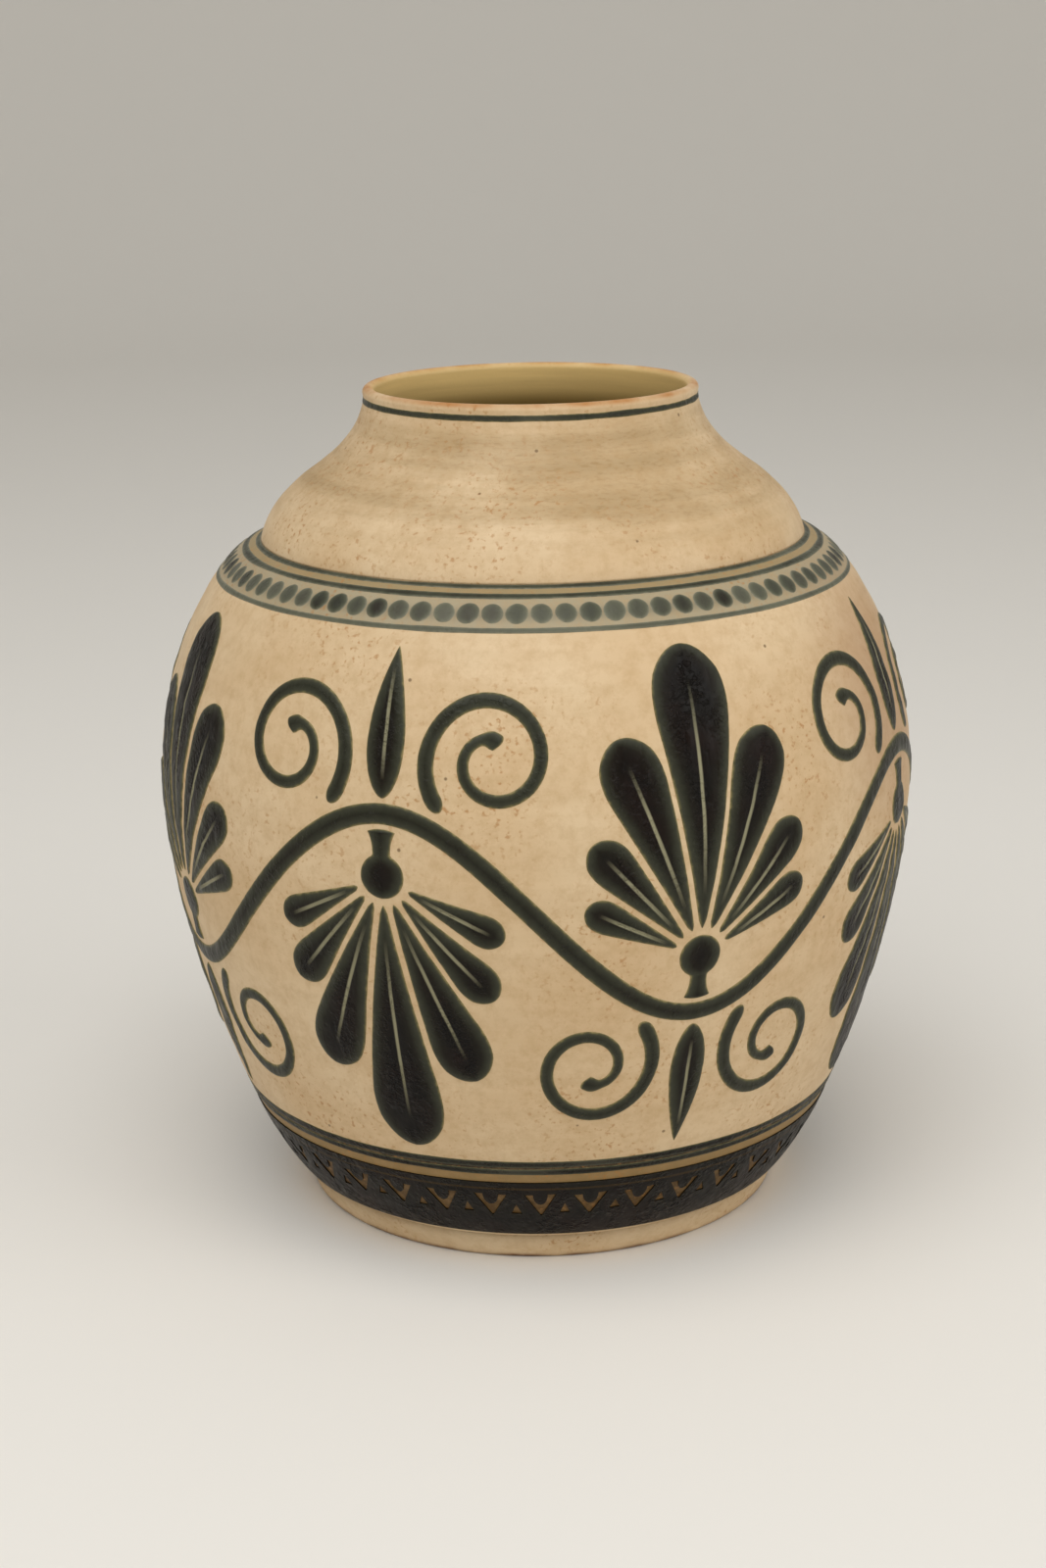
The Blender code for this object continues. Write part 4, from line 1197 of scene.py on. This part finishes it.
slab = node(band_tree, "GeometryNodeMeshCube", links)
half_size = node(band_tree, "ShaderNodeVectorMath", {0: slab_size, 1: (0.5, 0.5, 0.5)}, operation="MULTIPLY")
sunk = node(band_tree, "ShaderNodeMath", {0: given["Sink"], 1: -1.0}, operation="MULTIPLY")
corner = node(band_tree, "ShaderNodeCombineXYZ", {"Y": given["Low"], "Z": sunk})
shift = node(band_tree, "ShaderNodeVectorMath", {0: half_size, 1: corner}, operation="ADD")
slab = node(band_tree, "GeometryNodeTransform", {"Geometry": slab, "Translation": shift})
print(f"{band_tree.name}: {len(band_tree.nodes)} nodes for the slab")

# %% Cut the openings out
LEAST_SIZE = (0.92, 0.90, 1.0)
MOST_SIZE = (1.06, 1.05, 1.0)
MOST_TILT = 0.06
pitch = node(band_tree, "ShaderNodeMath", {0: given["Round"], 1: given["Count"]}, operation="DIVIDE")
first_at = node(band_tree, "ShaderNodeMath", {0: pitch, 1: 0.25}, operation="MULTIPLY")
start = node(band_tree, "ShaderNodeCombineXYZ", {"X": first_at, "Y": given["Along"]})
step = node(band_tree, "ShaderNodeCombineXYZ", {"X": pitch})
one_more = node(band_tree, "ShaderNodeMath", {0: given["Count"], 1: 1.0}, operation="ADD")
links = {"Count": one_more, "Start Location": start, "Offset": step}
string = node(band_tree, "GeometryNodeMeshLine", links)
# The first chevron crosses the slab's end, so the last pair repeats it at the other end.
links = {0: node(band_tree, "GeometryNodeInputIndex"), 1: given["Count"]}
number = node(band_tree, "ShaderNodeMath", links, operation="MODULO")
links = {"Min": -MOST_TILT, "Max": MOST_TILT, "ID": number, "Seed": given["Seed"]}
tilt = node(band_tree, "FunctionNodeRandomValue", links, data_type="FLOAT")
tilted = node(band_tree, "ShaderNodeCombineXYZ", {"Z": tilt})
links = {"Min": LEAST_SIZE, "Max": MOST_SIZE, "ID": number, "Seed": given["Seed"]}
sizes = node(band_tree, "FunctionNodeRandomValue", links, data_type="FLOAT_VECTOR")
links = {"Points": string, "Instance": given["Geometry"], "Rotation": tilted, "Scale": sizes}
cutters = node(band_tree, "GeometryNodeInstanceOnPoints", links)
cutters = node(band_tree, "GeometryNodeRealizeInstances", {"Geometry": cutters})
cut = node(band_tree, "GeometryNodeMeshBoolean", {"Mesh 1": slab, "Mesh 2": cutters}, operation="DIFFERENCE")
print(f"{band_tree.name}: {len(band_tree.nodes)} nodes with the openings")

# %% Drop the slab's end faces
SIDEWAYS = 0.9
position = node(band_tree, "GeometryNodeInputPosition")
spot = node(band_tree, "ShaderNodeSeparateXYZ", {0: position}).outputs
normal = node(band_tree, "GeometryNodeInputNormal")
facing = node(band_tree, "ShaderNodeSeparateXYZ", {0: normal}).outputs
sideways = node(band_tree, "ShaderNodeMath", {0: facing["X"]}, operation="ABSOLUTE")
half_round = node(band_tree, "ShaderNodeMath", {0: given["Round"], 1: 0.5}, operation="MULTIPLY")
from_middle = node(band_tree, "ShaderNodeMath", {0: spot["X"], 1: half_round}, operation="SUBTRACT")
to_end = node(band_tree, "ShaderNodeMath", {0: from_middle}, operation="ABSOLUTE")
near_end = node(band_tree, "ShaderNodeMath", {0: half_round, 1: HAIR}, operation="SUBTRACT")
at_end = node(band_tree, "FunctionNodeCompare", {0: to_end, 1: near_end}, operation="GREATER_THAN")
is_side = node(band_tree, "FunctionNodeCompare", {0: sideways, 1: SIDEWAYS}, operation="GREATER_THAN")
end_face = node(band_tree, "FunctionNodeBooleanMath", {0: at_end, 1: is_side}, operation="AND")
links = {"Geometry": cut, "Selection": end_face}
ring = node(band_tree, "GeometryNodeDeleteGeometry", links, domain="FACE", mode="ALL")
print(f"{band_tree.name}: {len(band_tree.nodes)} nodes with open ends")

# %% Keep the distances and lay the slab on the wall
CRISP = 4.0 * MM
SHARP_FOLD = math.radians(35.0)
near = node(band_tree, "GeometryNodeProximity", {"Geometry": cutters}, target_element="FACES")
above = node(band_tree, "ShaderNodeMath", {0: spot["Y"], 1: given["Low"]}, operation="SUBTRACT")
below = node(band_tree, "ShaderNodeMath", {0: given["High"], 1: spot["Y"]}, operation="SUBTRACT")
nearest = node(band_tree, "ShaderNodeMath", {0: above, 1: below}, operation="MINIMUM")
nearest = node(band_tree, "ShaderNodeMath", {0: nearest, 1: near.outputs["Distance"]}, operation="MINIMUM")
# The band was cut clean, so its border starts as dark as slip that lies thick.
crisp_edge = node(band_tree, "ShaderNodeMath", {0: nearest, 1: CRISP}, operation="ADD")
for label, source in (("edge", crisp_edge), ("along", spot["Y"])):
    links = {"Geometry": ring, "Name": label, "Value": source}
    ring = node(band_tree, "GeometryNodeStoreNamedAttribute", links, data_type="FLOAT", domain="POINT")
ring = node(band_tree, "GeometryNodeTriangulate", {"Mesh": ring})
links = {**{label: given[label] for label in LAY_INPUTS}, "Geometry": ring}
on_wall = node(band_tree, "GeometryNodeGroup", links, node_tree=lay_tree)
smooth = node(band_tree, "GeometryNodeSetShadeSmooth", {"Geometry": on_wall})
fold = node(band_tree, "GeometryNodeInputMeshEdgeAngle").outputs["Unsigned Angle"]
sharp = node(band_tree, "FunctionNodeCompare", {0: fold, 1: SHARP_FOLD}, operation="GREATER_THAN")
links = {"Geometry": smooth, "Name": "sharp_edge", "Value": sharp}
creased = node(band_tree, "GeometryNodeStoreNamedAttribute", links, data_type="BOOLEAN", domain="EDGE")
real = node(band_tree, "GeometryNodeRealizeInstances", {"Geometry": creased})
finished = node(band_tree, "GeometryNodeSetMaterial", {"Geometry": real, "Material": given["Material"]})
node(band_tree, "NodeGroupOutput", {0: finished})
print(f"{band_tree.name}: {len(band_tree.nodes)} nodes")

# %% Lay the band
band = run_tree(
    "foot_band_slip",
    band_tree,
    openings,
    Low=2.4 * MM,
    High=30.4 * MM,
    Round=ROUND,
    Count=CHEVRONS,
    Along=20.0 * MM,
    Seed=11,
    Relief=0.45 * MM,
    Sink=0.10 * MM,
    Material=dark_slip,
    **ON_BELLY,
)
add_piece(band.name, band, "foot_band")
print(f"Base band: {len(band.polygons)} faces")

# %% [markdown]
# ## Floor, light and camera
# The pot stands on a plain pale floor that curves up into a wall all round, so no horizon shows from any
# side. One large soft lamp hangs in front and above, and a weaker one fills the right. Neither shows in the
# picture. The camera stands where the photograph was taken from: a little above the rim, looking down 16
# degrees through a long lens, with a slight roll.

# %% Floor
FLOOR_RADIUS = 2.5
COVE_ROUND = 1.2
COVE_SEGMENTS = 64
cove_profile = [Vector((0.0, 0.0)), Vector((FLOOR_RADIUS, 0.0))]
cove_profile += rounded_corner(Vector((FLOOR_RADIUS, COVE_ROUND)), COVE_ROUND, -90.0, 0.0, 12)
cove_profile += [Vector((FLOOR_RADIUS + COVE_ROUND, 2.0 * COVE_ROUND))]
cove = bmesh.new()
turns = [2.0 * math.pi * step / COVE_SEGMENTS for step in range(COVE_SEGMENTS)]
cove_rings = []
for spot in cove_profile:
    cove_rings.append([cove.verts.new((spot.x * math.cos(t), spot.x * math.sin(t), spot.y)) for t in turns])
for low, high in zip(cove_rings, cove_rings[1:]):
    for here, after in zip(range(COVE_SEGMENTS), [*range(1, COVE_SEGMENTS), 0]):
        cove.faces.new((low[here], low[after], high[after], high[here]))
bmesh.ops.remove_doubles(cove, verts=cove.verts, dist=1.0 * MM)
cove_mesh = bpy.data.meshes.new("pale_floor")
cove.to_mesh(cove_mesh)
cove.free()
cove_mesh.shade_smooth()
# Matt paper gives the eye an even, pale tone without shine.
paper_white = bpy.data.materials.new("pale_paper")
paper_white.use_nodes = True
paper_shader = paper_white.node_tree.nodes["Principled BSDF"]
paper_shader.inputs["Base Color"].default_value = linear("#eae7e1")
paper_shader.inputs["Roughness"].default_value = 0.9
cove_mesh.materials.append(paper_white)
floor = bpy.data.objects.new("pale_floor", cove_mesh)
bpy.context.scene.collection.objects.link(floor)
print(f"Floor: {len(cove_mesh.polygons)} faces")

# %% Lamps and world
ROOM_LIGHT = 0.50
pot_centre = Vector((0.0, 0.0, HEIGHT / 2.0))
for name, spot, size, watts in (
    ("key_lamp", Vector((-0.3, -0.95, 1.85)), 1.8, 26.0),
    ("fill_lamp", Vector((1.5, -0.8, 1.0)), 1.2, 8.0),
):
    lamp = bpy.data.lights.new(name, "AREA")
    lamp.energy = watts
    lamp.size = size
    holder = bpy.data.objects.new(name, lamp)
    holder.location = spot
    holder.rotation_euler = (pot_centre - spot).to_track_quat("-Z", "Y").to_euler()
    holder.visible_camera = False
    bpy.context.scene.collection.objects.link(holder)
    print(f"{name}: {watts:.0f} W, {size:.1f} m wide")
world = bpy.data.worlds.new("soft_room")
bpy.context.scene.world = world
world.use_nodes = True
room = world.node_tree.nodes["Background"]
room.inputs["Color"].default_value = linear("#f4f2ee")
room.inputs["Strength"].default_value = ROOM_LIGHT
bpy.context.scene.view_settings.view_transform = "Standard"

# %% Camera
LENS = 60.75
SENSOR_WIDTH = 36.0
LOOK_DOWN = 15.98
ROLL = -0.96
CAMERA_AT = (-4.66 * MM, -886.0 * MM, 394.2 * MM)
lens = bpy.data.cameras.new("photograph")
lens.lens = LENS
lens.sensor_width = SENSOR_WIDTH
camera = bpy.data.objects.new("photograph", lens)
look_down = Matrix.Rotation(math.radians(90.0 - LOOK_DOWN), 4, "X")
roll = Matrix.Rotation(math.radians(ROLL), 4, "Z")
camera.matrix_world = Matrix.Translation(CAMERA_AT) @ look_down @ roll
bpy.context.scene.collection.objects.link(camera)
bpy.context.scene.camera = camera
print(f"Camera {-CAMERA_AT[1]:.2f} m in front, looking down {LOOK_DOWN} degrees")

# %% [markdown]
# ## Finish
# The wall curves have done their work and are taken out.

# %% Take out the wall curves and finish
for wall in (belly_wall, collar_wall):
    bpy.data.objects.remove(wall, do_unlink=True)
bpy.context.view_layer.update()
